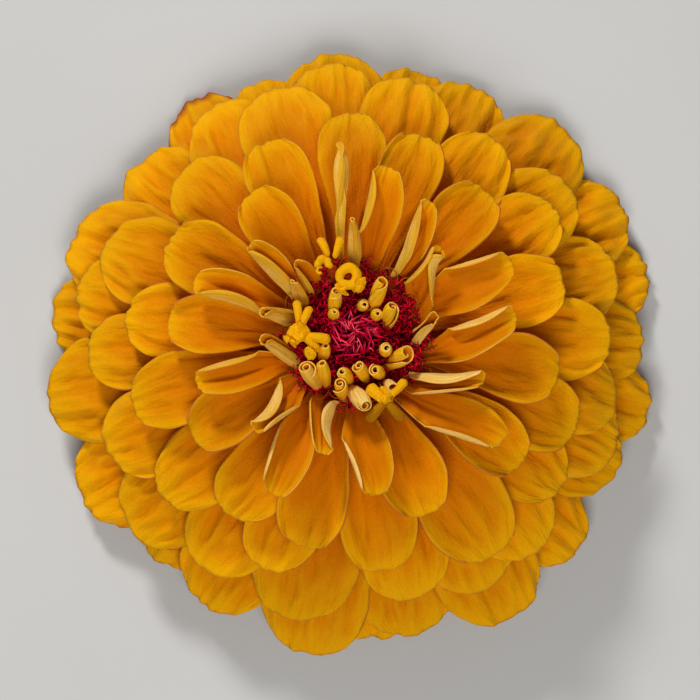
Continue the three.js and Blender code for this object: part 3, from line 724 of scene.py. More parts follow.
def new_sheet(bm, columns, rows, tint, blush=0.0):
    """A grid to be shaped: its vertices with how far across, -1 to 1, and along, 0 to 1."""
    verts = bmesh.ops.create_grid(
        bm, x_segments=columns, y_segments=rows, size=1.0, calc_uvs=True)["verts"]
    mark(bm, verts, tint, blush)
    return [(vert, -vert.co.x, (vert.co.y + 1) / 2) for vert in verts]


def beside(ahead, hint):
    """Two directions square to a heading and to each other, the first close to a hint."""
    side = (hint - ahead * hint.dot(ahead)).normalized()
    return side, ahead.cross(side)


def ring_point(centre, side, other, radius, angle):
    return centre + side * (radius * math.cos(angle)) + other * (radius * math.sin(angle))


def thread(bm, points, radii, sides, tint):
    """Adds a closed round thread through points, with a radius at each; its vertices."""
    last = len(points) - 1
    side = Vector((0.31, 0.95, 0.05))
    rings = []
    for place, point in enumerate(points):
        ahead = points[min(place + 1, last)] - points[max(place - 1, 0)]
        side, other = beside(ahead.normalized(), side)
        rings.append((point, side, other, radii[place]))
    grid = new_sheet(bm, sides, last, tint)
    for vert, across, along in grid:
        vert.co = ring_point(*rings[round(along * last)], math.pi * across)
    return [vert for vert, _, _ in grid]


def weld(bm):
    bmesh.ops.remove_doubles(bm, verts=bm.verts, dist=WELD_DISTANCE)
    bmesh.ops.recalc_face_normals(bm, faces=bm.faces)


def turned(profile, steps):
    """A solid of revolution from (radius, height) points that start and end on the axis."""
    bm = blank_mesh()
    line = [bm.verts.new((radius, 0, height)) for radius, height in profile]
    edges = [bm.edges.new(pair) for pair in zip(line, line[1:])]
    bmesh.ops.spin(
        bm, geom=line + edges, cent=(0, 0, 0), axis=(0, 0, 1), angle=2 * math.pi, steps=steps,
        use_merge=True, use_duplicate=False)
    weld(bm)
    return bm


def new_object(name, data):
    made = bpy.data.objects.new(name, data)
    bpy.context.scene.collection.objects.link(made)
    return made


def piece_from(bm, name, node, finishes, wall=None):
    """Makes the object of a mesh, riding on the flower, with a wall if it is a sheet."""
    bmesh.ops.scale(bm, vec=(MM, MM, MM), verts=bm.verts)
    for face in bm.faces:
        face.smooth = True
    mesh = bpy.data.meshes.new(name)
    bm.to_mesh(mesh)
    bm.free()
    piece = new_object(name, mesh)
    for look in finishes:
        mesh.materials.append(look)
    if wall:
        solid = piece.modifiers.new("wall", "SOLIDIFY")
        solid.thickness = wall
        solid.offset = -1
        solid.material_offset = 1
        solid.material_offset_rim = 2
    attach(piece, BODY)
    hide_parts(node)


# Petals


@dataclass
class Petal:
    """One petal: its place, its sizes, its own variations and its age, 1 for the oldest."""

    azimuth: float
    reach: float
    width: float
    root_reach: float
    root: float
    crest: float
    tip: float
    age: float
    seed: int
    arch: float = 0.0
    lip: float = 0.0
    roll: float = 0.0
    sweep: float = 0.0
    margins: tuple = ()
    end: tuple = OPEN_TIP

    def __post_init__(self):
        draw = random.Random(self.seed)
        self.length = self.reach - self.root_reach
        self.noise_place = 11.3 * (self.seed % 97)
        self.tint = draw.random()
        self.ridges = [
            (number, weight * draw.uniform(0.6, 1.2), draw.uniform(0, 2 * math.pi))
            for number, weight in ((2, 0.45), (3, 0.6), (5, 0.28))]
        self.wave_length = draw.uniform(7, 12)
        self.wave_phase = draw.uniform(0, 2 * math.pi)
        self.tip_turn = draw.uniform(-0.9, 0.5) * between(0.5, 1.0, self.age)
        self.skew = draw.uniform(-0.75, 0.75) * between(0.5, 1.0, self.age)
        if self.margins:
            self.tip_turn = draw.uniform(0.3, 0.8)
            # A young petal's tint comes from its side of the flower: painted shade on its back,
            # painted light on its face.
            self.tint = 0.5 + 0.45 * math.cos(math.radians(self.azimuth - SHADY_AZIMUTH))
        count = draw.choice((1, 1, 2, 3))
        self.nicks = [
            (draw.uniform(-0.62, 0.62), draw.uniform(0.35, 1.0), draw.uniform(0.11, 0.24))
            for _ in range(count)]


def blade_outline(petal, across, along):
    """The share of a blade's length at a point, and its half width there.

    It swells from the claw to its full width, and its end is part of an ellipse.
    """
    tip_length, corner = petal.end
    tip_share = tip_length * petal.width / 2 / petal.length
    straight = 1 - tip_share
    if along <= straight:
        swell = math.sin(math.pi / 2 * (along / straight) ** SWELL_POWER)
        return along, petal.width / 2 * between(CLAW_WIDTH_SHARE, 1, swell)
    past = (along - straight) / tip_share
    turn = past * corner
    full = math.sin(corner)
    end = math.sqrt(1 - (math.cos(corner) * across) ** 2)
    reached = math.sin(turn) + (past - math.sin(turn)) * (end - full) / (1 - full)
    return straight + tip_share * reached, petal.width / 2 * math.cos(turn)


def nick_depth(petal, across):
    """How deep the nicks and the unevenness of a blade's end are, from 0 to about 1."""
    depth = sum(size * math.exp(-((across - at) / width) ** 2) for at, size, width in petal.nicks)
    return depth + 0.35 * grain(across * 2.6, petal.noise_place)


def petal_relief(petal, settings, across, along, x, y):
    """How far a blade's face stands off its smooth form."""
    ridge = settings.ridge / MM * between(0.35, 1.0, petal.age)
    wave = settings.wave / MM * between(0.15, 1.0, petal.age)
    drift = across + 0.16 * grain(y / 13, petal.noise_place, 3.1)
    ridges = sum(
        weight * math.cos(math.pi * number * drift + phase)
        for number, weight, phase in petal.ridges)
    folds = grain(x / 1.7, y / 8.5, petal.noise_place)
    folds += 0.6 * grain((x + 0.3 * y) / 1.7, y / 6, petal.noise_place + 3)
    crinkle = grain(x / 1.2, y / 3.4, petal.noise_place + 7)
    creases = sum(
        size * math.exp(-((drift - at) / (1.3 * width)) ** 2) for at, size, width in petal.nicks)
    side = petal.wave_phase if across > 0 else -petal.wave_phase
    waves = abs(across) ** 3 * math.sin(2 * math.pi * y / petal.wave_length + side)
    channel = math.exp(-(across / 0.16) ** 2)
    rise = smooth(along, 0.06, 0.45) * (1 - 0.45 * smooth(along, 0.82, 1.0))
    late = smooth(along, 0.35, 0.8) * (1 - 0.5 * smooth(along, 0.85, 1.0))
    return (rise * (ridge * (0.75 * ridges + 2.9 * folds) + wave * waves - 0.18 * channel)
            + late * ridge * (1.7 * crinkle - 0.9 * creases))


def arched_section(petal, across, along, half):
    """The cross-section of a petal whose margins turn evenly by an arch."""
    turn = math.radians(petal.arch) * smooth(along, 0, 0.5)
    lip = petal.lip * smooth(along, 0.1, 0.5) * smooth(abs(across), 0.74, 1.0)
    return half * across * (1 - (turn * across) ** 2 / 6), half * turn * across ** 2 / 2 + lip


def folded_section(petal, across, along, half):
    """The cross-section of a petal whose margins are folded over at a crease.

    The folded margin is widest in the middle of its own length, and runs out at both ends.
    """
    fold, breadth, start, end = petal.margins[0] if across < 0 else petal.margins[1]
    place = share_of(along, start, end)
    flap = min(breadth * math.sin(math.pi * place), FLAP_MOST * half)
    bend_most = math.radians(fold) * smooth(place, 0, 0.15) * (1 - smooth(place, 0.93, 1))
    settled = SETTLED_TURN * smooth(along, 0, 0.4)
    cupped = CUPPED_TURN * smooth(along, 0.1, 0.6)
    crease = half - flap
    step = abs(across) * half / FOLD_STEPS
    flat = 0.0
    raised = 0.0
    for k in range(FOLD_STEPS):
        size = (k + 0.5) * step
        bend = settled + cupped * size / half
        bend += max(0.0, CREASE_TURN * bend_most - bend) * smooth(
            size, crease - CREASE_HALF, crease + CREASE_HALF)
        if size > crease:
            bend += (1 - CREASE_TURN) * bend_most * (size - crease) / flap
        flat += math.cos(bend) * step
        raised += math.sin(bend) * step
    return math.copysign(1.0, across) * flat, raised


def petal_point(petal, settings, across, along):
    """A point of a petal's face, from its claw to its end, and its relief there."""
    share, half = blade_outline(petal, across, along)
    nick = settings.nick / MM * between(0.3, 1.0, petal.age) * nick_depth(petal, across)
    cut = max(nick, -0.3) + petal.skew * (0.5 + 0.5 * across)
    t = min(1.0, share - smooth(along, 0.78, 1.0) ** 2 * max(cut, -0.6) / petal.length)
    side_place = petal.noise_place + math.copysign(5.0, across)
    half *= 1 + 0.05 * across ** 2 * grain(t * petal.length / 4.5, side_place)
    middle = (petal.root_reach + petal.reach) / 2
    reach = curved(petal.root_reach, middle, petal.reach, t)
    height = curved(petal.root, petal.crest, petal.tip, t)
    rise = 2 * (1 - t) * (petal.crest - petal.root) + 2 * t * (petal.tip - petal.crest)
    azimuth = petal.azimuth - petal.sweep * (1 - t) ** SWEEP_POWER
    outward, sideways = out_and_aside(azimuth)
    slope = (outward * petal.length + Vector((0, 0, rise))).normalized()
    upward = slope.cross(sideways)
    section = folded_section if petal.margins else arched_section
    flat, raised = section(petal, across, along, half)
    roll = math.radians(petal.roll) * t
    fanned = across * petal.width / 2
    relief = petal_relief(petal, settings, across, along, fanned, t * petal.length)
    flat, raised = (flat * math.cos(roll) - raised * math.sin(roll),
                    flat * math.sin(roll) + raised * math.cos(roll))
    raised += petal.tip_turn * smooth(along, 0.62, 1.0) ** 2
    return (outward * reach + Vector((0, 0, height)) + sideways * flat
            + upward * (raised + relief)), relief


def add_petal(bm, petal, settings, columns):
    blush = 0.8 if petal.azimuth == BLUSHED_AZIMUTH else 0.05 * petal.age * petal.tint
    grid = new_sheet(bm, columns, BLADE_ROWS, petal.tint, blush)
    crests = bm.verts.layers.float["crest"]
    for vert, across, along in grid:
        along += TIP_CROWDING * along * (1 - along)
        vert.co, relief = petal_point(petal, settings, across, along)
        # The relief is kept on the vertices, so that its troughs can be painted with shade.
        vert[crests] = 0.5 + relief / RELIEF_SPAN


def open_petals(order):
    """The petals of one open whorl, with the frame's own small variations."""
    whorl_reach, root, crest, tip, arch, lip, places = OPEN_WHORLS[order]
    age = 1 - order / (len(OPEN_WHORLS) - 1)
    for k, (azimuth, reach, width) in enumerate(places):
        yield Petal(
            azimuth, reach, width, PETAL_ROOT_REACH, root, crest + 0.4 * vary(k, 0.37 * order),
            tip + TIP_FALL * (whorl_reach - reach) + 0.4 * vary(k, 0.11 + 0.23 * order),
            age, 100 * order + k, arch=arch, lip=lip, roll=4 * vary(k, 0.53 + 0.41 * order),
            end=ROUND_TIP if order >= ROUND_FROM_WHORL else OPEN_TIP)


def young_petals(order):
    root_reach, root, crest, tip, places = YOUNG_WHORLS[order]
    for k, (azimuth, reach, width, sweep, before, after) in enumerate(places):
        yield Petal(
            azimuth, reach, width, root_reach, root, crest, tip, 0.0, 1000 + 100 * order + k,
            sweep=sweep, margins=(before, after),
            end=BUD_TIP if order or width < SLIM_WIDTH else YOUNG_TIP)


class ZINNIA_OT_core(bpy.types.Operator):
    """Make the fleshy core that the petals grow from"""

    bl_idname = "zinnia.core"
    bl_label = "Core"

    def execute(self, context):
        bm = turned(CORE_PROFILE, 48)
        bmesh.ops.subdivide_edges(bm, edges=bm.edges, cuts=1, use_grid_fill=True)
        look = fleshy("core_flesh", *CORE_COLOURS, 1800, 300, **VELVET)
        piece_from(bm, "flower_core", "ray_petals", [look])
        return {"FINISHED"}


class ZINNIA_OT_open_petals(bpy.types.Operator):
    """Make the open petals, a piece for each whorl"""

    bl_idname = "zinnia.open_petals"
    bl_label = "Open petals"

    def execute(self, context):
        settings = context.scene.zinnia_petals
        # Each whorl further in gets a darker, redder copy of the face: painted shade deep in the
        # cup.
        outer = petal_face(settings, "petal_outer_face", 1.0, 0.35, 0.78, 1.0, 0.0010)
        middle = petal_face(settings, "petal_middle_face", 0.98, 0.15, 0.65, 1.0, 0.0010)
        inner = petal_face(settings, "petal_inner_face", 0.92, 0.08, 0.65, 1.05, 0.0008)
        faces = [outer] * 6 + [middle, inner]
        back = petal_back(settings, "petal_back", settings.back, settings.back_full,
                          settings.back_vein, 0.9)
        rim = fleshy("petal_rim", settings.edge, settings.orange, 2500, 500, **VELVET)
        for order in range(len(OPEN_WHORLS)):
            bm = blank_mesh()
            for petal in open_petals(order):
                add_petal(bm, petal, settings, OPEN_COLUMNS)
            piece_from(bm, f"petals_whorl_{order + 1}", "ray_petals", [faces[order], back, rim],
                       wall=settings.thickness)
        return {"FINISHED"}


class ZINNIA_OT_young_petals(bpy.types.Operator):
    """Make the young petals, whose margins are still folded over"""

    bl_idname = "zinnia.young_petals"
    bl_label = "Young petals"

    def execute(self, context):
        settings = context.scene.zinnia_petals
        # The young petals' face is darker and redder too: painted shade deep in the cup.
        face = petal_face(settings, "petal_young_face", 0.91, 0.08, 0.65, 1.1, 0.0004)
        back = petal_back(settings, "petal_young_back", settings.back, settings.back_full,
                          settings.back_vein, 0.7)
        rim = fleshy("petal_young_rim", *YOUNG_RIM_COLOURS, 2500, 500, **VELVET)
        for order in range(len(YOUNG_WHORLS)):
            bm = blank_mesh()
            for petal in young_petals(order):
                add_petal(bm, petal, settings, YOUNG_COLUMNS)
            piece_from(bm, f"young_petals_{order + 1}", "ray_petals", [face, back, rim],
                       wall=YOUNG_WALL_SHARE * settings.thickness)
        return {"FINISHED"}


# Disc florets


def ray_axis(ray, t):
    """A point of a rolled ray's axis, from its root to its open end."""
    azimuth, reach, _, lean_x, lean_y, end_height = ray[:6]
    behind = (1 - t ** 2) / (1 - ROLL_BARE_FROM ** 2)
    height = between(ROLL_ROOT_HEIGHT, end_height, t)
    return polar(azimuth, reach, height) - Vector((lean_x, lean_y, 0)) * behind


def add_rolled_ray(bm, index, ray):
    """A young ray, rolled up on itself, with its inner margin curled in the mouth."""
    radius, (seam, turns, lip, twist, flap) = ray[2], ray[6:]
    tint = 1 - smooth(ray[1], 8.0, 12.0)
    for vert, across, along in new_sheet(bm, ROLL_COLUMNS, ROLL_ROWS, tint):
        rolled = (1 + across) / 2
        along *= 1 + ROLL_CROWDING * (1 - along)
        uneven = 0.02 * grain(rolled * 3, index * 3.7)
        drop = 0.05 * rolled ** 2 + 0.11 * (1 - min(1, rolled * 2.2)) ** 2
        t = along * (1 - along ** 3 * (drop + uneven))
        centre = ray_axis(ray, t)
        ahead = ray_axis(ray, min(1.0, t + 0.05)) - ray_axis(ray, max(0.0, t - 0.05))
        side, other = beside(ahead.normalized(), Vector((1, 0, 0)))
        girth = radius * between(0.55, 1.05, smooth(t, 0.3, 0.82))
        rounded = share_of(t, ROLL_ROUND_FROM, 1.0)
        girth *= between(lip, 1.0, math.sqrt(1 - 0.992 * rounded ** 2))
        loose = min(1.0, flap)
        coil = 1 - (0.14 + 0.4 * loose) * rolled - (0.72 - 0.4 * loose) * rolled ** 4
        stand = flap * smooth(t, 0.8, 1.0) * (1 - rolled) ** 5
        angle = math.radians(seam + twist * t) + 2 * math.pi * turns * rolled
        span = girth * coil + stand
        span += 0.06 * grain(rolled * 5, t * 4, index * 9.1)
        vert.co = ring_point(centre, side, other, span, angle)


def add_lobe(bm, heart, turn, start, length, width, droop, salt):
    """A fuzzy sausage-shaped lobe of an open floret."""
    made = bmesh.ops.create_icosphere(bm, subdivisions=4, radius=0.5, calc_uvs=True)["verts"]
    outward, sideways = out_and_aside(turn)
    crumple = 1.5 if length < SHORT_LOBE else 0.12
    bow = 0.8 * vary(salt, 0.2)
    for vert in made:
        x, y, z = vert.co * 2
        fuzz = 1 + 0.07 * grain(x * 9, y * 7 + salt, z * 7)
        crinkle = crumple * (abs(grain(x * 0.95 + salt, y * 1.1, z * 1.1)) - 0.2)
        share = (x + 1) / 2
        full = math.sqrt(max(0.0, 1 - x ** 2))
        blunt = min(1.0, full * 1.5) / full if full > 0.05 else 1.0
        reach = start + length * share
        aside = width / 2 * y * blunt * fuzz * between(0.72, 1.05, smooth(share, 0, 0.7))
        aside += bow * share ** 2
        rise = width / 2 * LOBE_THICKNESS_SHARE * z * blunt * fuzz
        rise += 0.35 * math.sin(math.pi * share) - droop * share ** 2 - 0.12 * y ** 2
        vert.co = (heart + outward * reach + sideways * (aside + crinkle)
                   + Vector((0, 0, rise + crinkle)))
    # Painted shade: the more a lobe hangs, the lower its tint, and the browner it is painted.
    mark(bm, made, 1 - smooth(droop, 0.2, 1.2))


def add_curl(bm, middle, start, sweep, radius, girth, salt):
    """A lobe of an open floret that curls round on itself."""
    points = []
    radii = []
    for k in range(CURL_STEPS + 1):
        t = k / CURL_STEPS
        reach = radius * (1 + 0.2 * grain(t * 3.1, salt))
        points.append(middle + polar(start + sweep * t, reach, 0.4 * grain(t * 2.3, salt + 5)))
        full = math.sqrt(max(0.0, 1 - (2 * t - 1) ** 6))
        radii.append(girth * full * (1 + 0.35 * grain(t * 5, salt + 9)))
    for vert in thread(bm, points, radii, 16, 0.9):
        x, y, z = vert.co
        torn = 0.5 * girth * (abs(grain(x * 0.6, y * 0.6, z * 0.6)) - 0.2)
        outward = (vert.co - middle).normalized()
        vert.co += outward * torn + Vector((0, 0, torn))


class ZINNIA_OT_rolled_rays(bpy.types.Operator):
    """Make the rolled rays that stand in the disc"""

    bl_idname = "zinnia.rolled_rays"
    bl_label = "Rolled rays"

    def execute(self, context):
        petals = context.scene.zinnia_petals
        settings = context.scene.zinnia_disc
        bm = blank_mesh()
        for index, ray in enumerate(ROLLED_RAYS):
            add_rolled_ray(bm, index, ray)
        inside = fleshy("rolled_ray_inside", *ROLL_INSIDE_COLOURS, 2500, 500, **VELVET)
        outside = petal_back(petals, "rolled_ray_outside", settings.cream, settings.bud,
                             ROLL_FOOT, 1.0, own_full=0.95, margin_full=0.0)
        rim = fleshy("rolled_ray_rim", settings.cream, settings.bud, 2500, 500, **VELVET)
        piece_from(bm, "rolled_rays", "ray_petals", [inside, outside, rim], wall=ROLL_WALL)
        return {"FINISHED"}


def star_look(yellow):
    """The fuzzy yellow of an open floret, with painted shade: browner on the lobes that hang."""
    def tones(bench):
        flesh = bench.grouped("fleshy_grain", Size=4200.0, Patches=700.0)
        share = bench.span(flesh["Speckle"], 0.3, 0.75, 0.0, 0.7)
        bright = bench.blend(share, yellow, darker(yellow, 0.84))
        lit_share = bench.span(bench.own("tint"), 0.0, 0.8)
        colour = bench.blend(lit_share, HANGING_LOBE_SHADE, bright)
        return grained(bench, colour, flesh, 0.55, 0.72)

    return finish("star_fuzz", tones, 0.6, 0.00025, **dict(VELVET, Sheen_Weight=0.22))


class ZINNIA_OT_star_florets(bpy.types.Operator):
    """Make the open florets, with their fuzzy lobes and their throats"""

    bl_idname = "zinnia.star_florets"
    bl_label = "Star florets"

    def execute(self, context):
        bm = blank_mesh()
        throats = blank_mesh()
        for index, (azimuth, reach, lobes, curls) in enumerate(STAR_FLORETS):
            heart = polar(azimuth, reach, STAR_HEIGHT)
            for k, (x, y, *curl) in enumerate(curls):
                add_curl(bm, heart + Vector((x, y, 0.3)), *curl, 10 * index + k + 7)
            for k, sizes in enumerate(lobes):
                add_lobe(bm, heart, *sizes, 10 * index + k + 1)
            root = polar(azimuth, min(reach, BOWL_RADIUS) - 0.8, THROAT_ROOT_HEIGHT)
            line = [root.lerp(heart, t) for t in (0, 0.1, 0.6, 0.9, 0.96, 1)]
            thread(throats, line, [0, 0.45, 0.6, 0.85, 0.7, 0], 10, 0.4)
        weld(bm)
        weld(throats)
        look = star_look(context.scene.zinnia_disc.star)
        piece_from(bm, "star_lobes", "ray_petals", [look])
        deep = fleshy("star_throat", *THROAT_COLOURS, 3500, 600, **VELVET)
        piece_from(throats, "star_throats", "ray_petals", [deep])
        return {"FINISHED"}


def add_style(bm, index):
    """A style's two curling threads, at the claw of an inner petal."""
    draw = random.Random(400 + index)
    azimuth = index * 360 * (1 - GOLDEN_TURN) + draw.uniform(-6, 6)
    reach = draw.uniform(9.4, 12.6)
    heading = azimuth + draw.uniform(-35, 35)
    foot = polar(azimuth, reach, STYLE_FOOT_HEIGHT)
    length = draw.uniform(3.2, 5.4)
    for side in (-1, 1):
        curl = side * draw.uniform(80, 210)
        points = [foot]
        for k in range(STYLE_STEPS):
            t = k / STYLE_STEPS
            turn = heading + 12 * side + curl * t ** 1.8
            climb = between(1.3, -0.3, t)
            ahead = (polar(turn, 1, 0) + Vector((0, 0, climb))).normalized()
            points.append(points[-1] + ahead * length / STYLE_STEPS)
        slim = [between(0.1, 0.06, k / STYLE_STEPS) for k in range(1, STYLE_STEPS)]
        thread(bm, points, [0, *slim, 0], 5, draw.random())


class ZINNIA_OT_styles(bpy.types.Operator):
    """Make the thin curled styles at the inner petals' claws"""

    bl_idname = "zinnia.styles"
    bl_label = "Styles"

    def execute(self, context):
        colour = context.scene.zinnia_disc.thread
        bm = blank_mesh()
        for index in range(STYLE_COUNT):
            add_style(bm, index)
        weld(bm)
        look = fleshy("style_thread", colour, darker(colour, 0.6), 3000, 500, 0.3, 0.0001,
                      **VELVET)
        piece_from(bm, "styles", "ray_petals", [look])
        return {"FINISHED"}


# Crimson disc


def disc_top(reach):
    return DISC_TOP - DISC_DROOP * reach ** 2


def is_clear(place):
    """Whether a place at the top of the disc is clear of the rolled rays."""
    for ray in ROLLED_RAYS:
        axis = ray_axis(ray, 0.9)
        if math.hypot(place.x - axis.x, place.y - axis.y) < ray[2] - RAY_OVERLAP:
            return False
    return True


def add_swirl_bract(bm, index, azimuth, reach):
    """An inner bract: a slim pointed blade that bends in to the middle."""
    draw = random.Random(900 + index)
    azimuth += draw.uniform(-26, 26)
    length = draw.uniform(1.6, 4.4)
    near = reach / SWIRL_REACH
    foot = polar(azimuth, reach, disc_top(reach) - 1.2)
    rise = disc_top(reach) + between(2.5, 2.0, near) + draw.uniform(-0.5, 0.2)
    bend = polar(azimuth + SWIRL * draw.uniform(-0.2, 0.7), reach * 0.92, rise)
    inner = max(0.2, reach - length * draw.uniform(0.6, 0.85))
    tip = polar(azimuth + SWIRL * draw.uniform(-0.2, 2.0), inner, rise + draw.uniform(-1.9, 0.1))
    width = draw.uniform(0.11, 0.23)
    for vert, across, along in new_sheet(bm, 2, 8, draw.random()):
        point = curved(foot, bend, tip, along)
        ahead = (curved(foot, bend, tip, min(1, along + 0.1)) - point).normalized()
        if ahead.length < 0.5:
            ahead = (tip - bend).normalized()
        sideways = ahead.cross(polar(azimuth, 1, 0.4)).normalized()
        half = width / 2 * between(1.0, 0.16, along ** 1.6)
        keel = ahead.cross(sideways) * (0.16 * across ** 2)
        vert.co = point + sideways * (half * across) + keel


def add_fringe_bract(bm, index, azimuth, reach, hair_count):
    """An outer bract's ragged end: fine hairs that fan out from it."""
    draw = random.Random(1900 + index)
    top = disc_top(min(reach, FRINGE_BEND_REACH))
    foot = polar(azimuth, reach, top - 1.0)
    head = polar(azimuth + draw.uniform(-5, 5), reach - draw.uniform(0.0, 0.7),
                 top + draw.uniform(0.4, 1.5))
    for _ in range(hair_count):
        spread = Vector((draw.gauss(0, 1), draw.gauss(0, 1), draw.uniform(-0.1, 1.1)))
        spread = spread.normalized() - polar(azimuth, 0.25, 0)
        length = draw.uniform(0.8, 1.9)
        start = foot.lerp(head, draw.uniform(0.45, 1.0))
        curl = Vector((draw.uniform(-0.5, 0.5), draw.uniform(-0.5, 0.5), draw.uniform(-0.3, 0.2)))
        bend = start + spread * length * 0.4
        turn = start + (spread * 0.72 + curl * 0.3) * length
        end = start + (spread + curl) * length
        girth = draw.uniform(0.08, 0.14)
        thread(bm, [start, bend, turn, end], [0.0, girth, girth, 0.0], 3, draw.random())


def bract_places(count, reach_to):
    """Azimuths and reaches of bracts, evenly spread to a reach by the golden turn."""
    for index in range(count):
        reach = reach_to * math.sqrt((index + 0.5) / count)
        yield index, index * 360 * (1 - GOLDEN_TURN), reach


def bract_look(name, root, body, streak):
    """The finish of crimson bracts: dark foot, partly painted shade; pale streak to the tip."""
    def tones(bench):
        across, along = bench.sheet_place()
        flesh = bench.grouped("fleshy_grain", Size=4000.0, Patches=900.0)
        colour = bench.blend(bench.span(along, 0.1, 0.75), root, body)
        middle = bench.maths("ABSOLUTE", bench.less(across, 0.5))
        pale = bench.span(middle, 0.0, 0.3, 0.85, 0.0)
        pale = bench.times(pale, bench.span(along, 0.45, 1.0))
        pale = bench.times(pale, bench.span(bench.own("tint"), 0.2, 0.9))
        colour = bench.blend(pale, colour, streak)
        colour = bench.shaded(colour, bench.span(bench.own("tint"), 0.0, 1.0, 0.4, 1.4))
        return grained(bench, colour, flesh, 0.45, 0.7)

    return finish(name, tones, 0.35, 0.0001, **CRIMSON_GLOSS)


class ZINNIA_OT_disc_bracts(bpy.types.Operator):
    """Make the crimson disc: its bed, the swirl of slim bracts and the tangled fringes"""

    bl_idname = "zinnia.disc_bracts"
    bl_label = "Disc bracts"

    def execute(self, context):
        settings = context.scene.zinnia_disc
        tops = [(r, disc_top(r) - DISC_FLOOR_DEPTH) for r in (BED_RADIUS, 7.5, 5, 2.5, 0)]
        bed = turned([(0, BED_FLOOR_HEIGHT + 0.2), (BED_RADIUS - 0.4, BED_FLOOR_HEIGHT), *tops],
                     40)
        for vert in bed.verts:
            vert.co.z += 0.35 * grain(vert.co.x * 0.9, vert.co.y * 0.9)
        swirl = blank_mesh()
        fringe = blank_mesh()
        for index, azimuth, reach in bract_places(SWIRL_COUNT, SWIRL_REACH):
            if is_clear(polar(azimuth, reach, 0)):
                add_swirl_bract(swirl, index, azimuth, reach)
        for index, azimuth, reach in bract_places(settings.bract_count, FRINGE_REACH):
            if reach > SWIRL_REACH - 1 and is_clear(polar(azimuth, reach, 0)):
                add_fringe_bract(fringe, index, azimuth, reach, settings.hair_count)
        weld(fringe)
        # The bed's dark, which also darkens the bracts' feet: partly their own, partly painted
        # shade.
        dark = DISC_COLOURS[0]
        look = fleshy("disc_bed", *DISC_COLOURS, 2500, 900, **CRIMSON_GLOSS)
        piece_from(bed, "disc_bed", "disc_bracts", [look])
        look = bract_look("bract_magenta", dark, settings.magenta, BRACT_PINK)
        piece_from(swirl, "disc_swirl", "disc_bracts", [look, look, look], wall=SWIRL_WALL)
        look = bract_look("bract_crimson", dark, settings.crimson, settings.magenta)
        piece_from(fringe, "disc_fringe", "disc_bracts", [look])
        return {"FINISHED"}


# Green parts


def side_point(share, azimuth, lift):
    """A point on the involucre's side, lifted off it: share 0 at its base, 1 at its rim."""
    steps = len(INVOLUCRE_SIDE) - 1
    low = min(steps - 1, int(max(share, 0) * steps))
    within = share * steps - low
    (low_reach, low_height), (high_reach, high_height) = INVOLUCRE_SIDE[low:low + 2]
    out, up = high_reach - low_reach, high_height - low_height
    slant = math.hypot(out, up)
    reach = low_reach + within * out + lift * up / slant
    return polar(azimuth, reach, low_height + within * up - lift * out / slant)


def bract_point(bract, across, along, rounded, lift, splay=1.0):
    """A point of a green bract that laps the involucre, with a lift added to its own."""
    azimuth, width, start, end = bract
    rounding = 0.45 * (1 - math.sqrt(1 - 0.96 * across ** 2)) * rounded
    lift += BRACT_LIFT * along ** 0.6 - 0.3 * across ** 2
    middle = side_point(between(start, end, along * (1 - rounding)), azimuth, lift)
    reach = math.hypot(middle.x, middle.y)
    half = width / 2 * between(0.72, 1.0, math.sin(math.pi * min(1, along * 0.85)))
    return polar(azimuth + math.degrees(half * across * splay / reach), reach, middle.z)


def add_green_bract(bm, bract):
    """A rounded green bract lapped on the involucre, with its own slight keel."""
    for vert, across, along in new_sheet(bm, 12, 12, (bract[0] * GOLDEN_TURN / 57) % 1):
        keel = 0.1 * math.exp(-(across / 0.2) ** 2)
        vert.co = bract_point(bract, across, along, along ** 3, 0.12 + keel)


def add_fringe_teeth(bm, bract):
    """The dark teeth along a green bract's rounded end."""
    for k in range(FRINGE_TEETH):
        across = 2 * (k + 0.5) / FRINGE_TEETH - 1
        points = [
            bract_point(bract, across, along, 1.0, 0.02, 1 + 0.6 * max(0.0, along - 0.95))
            for along in (0.95, 1.0, 1.07)]
        thread(bm, points, [0.0, 0.16, 0.0], 3, 0.5)


class ZINNIA_OT_involucre(bpy.types.Operator):
    """Make the involucre: the swollen head of the stalk and its lapped green bracts"""

    bl_idname = "zinnia.involucre"
    bl_label = "Involucre"

    def execute(self, context):
        settings = context.scene.zinnia_greens
        bm = turned([(0, INVOLUCRE_SIDE[0][1]), *INVOLUCRE_SIDE, *INVOLUCRE_TOP], 48)
        bracts = blank_mesh()
        teeth = blank_mesh()
        for order, (count, width, start, end) in enumerate(BRACT_ROWS):
            for k in range(count):
                bract = 360 * (k + 0.37 * order) / count, width, start, end
                add_green_bract(bracts, bract)
                add_fringe_teeth(teeth, bract)
        weld(teeth)
        green = settings.green
        flesh = fleshy("involucre_flesh", green, darker(green, 0.55), 1500, 260)
        back = petal_back(context.scene.zinnia_petals, "bract_back", green, darker(green, 0.8),
                          darker(green, 0.6), 0.4)
        piece_from(bm, "involucre_head", "involucre", [flesh])
        piece_from(bracts, "involucre_bracts", "involucre", [back, flesh, flesh],
                   wall=settings.bract_thickness)
        brown = fleshy("bract_fringe", settings.fringe, darker(settings.fringe, 0.5), 3000, 800)
        piece_from(teeth, "involucre_fringe", "involucre", [brown])
        return {"FINISHED"}


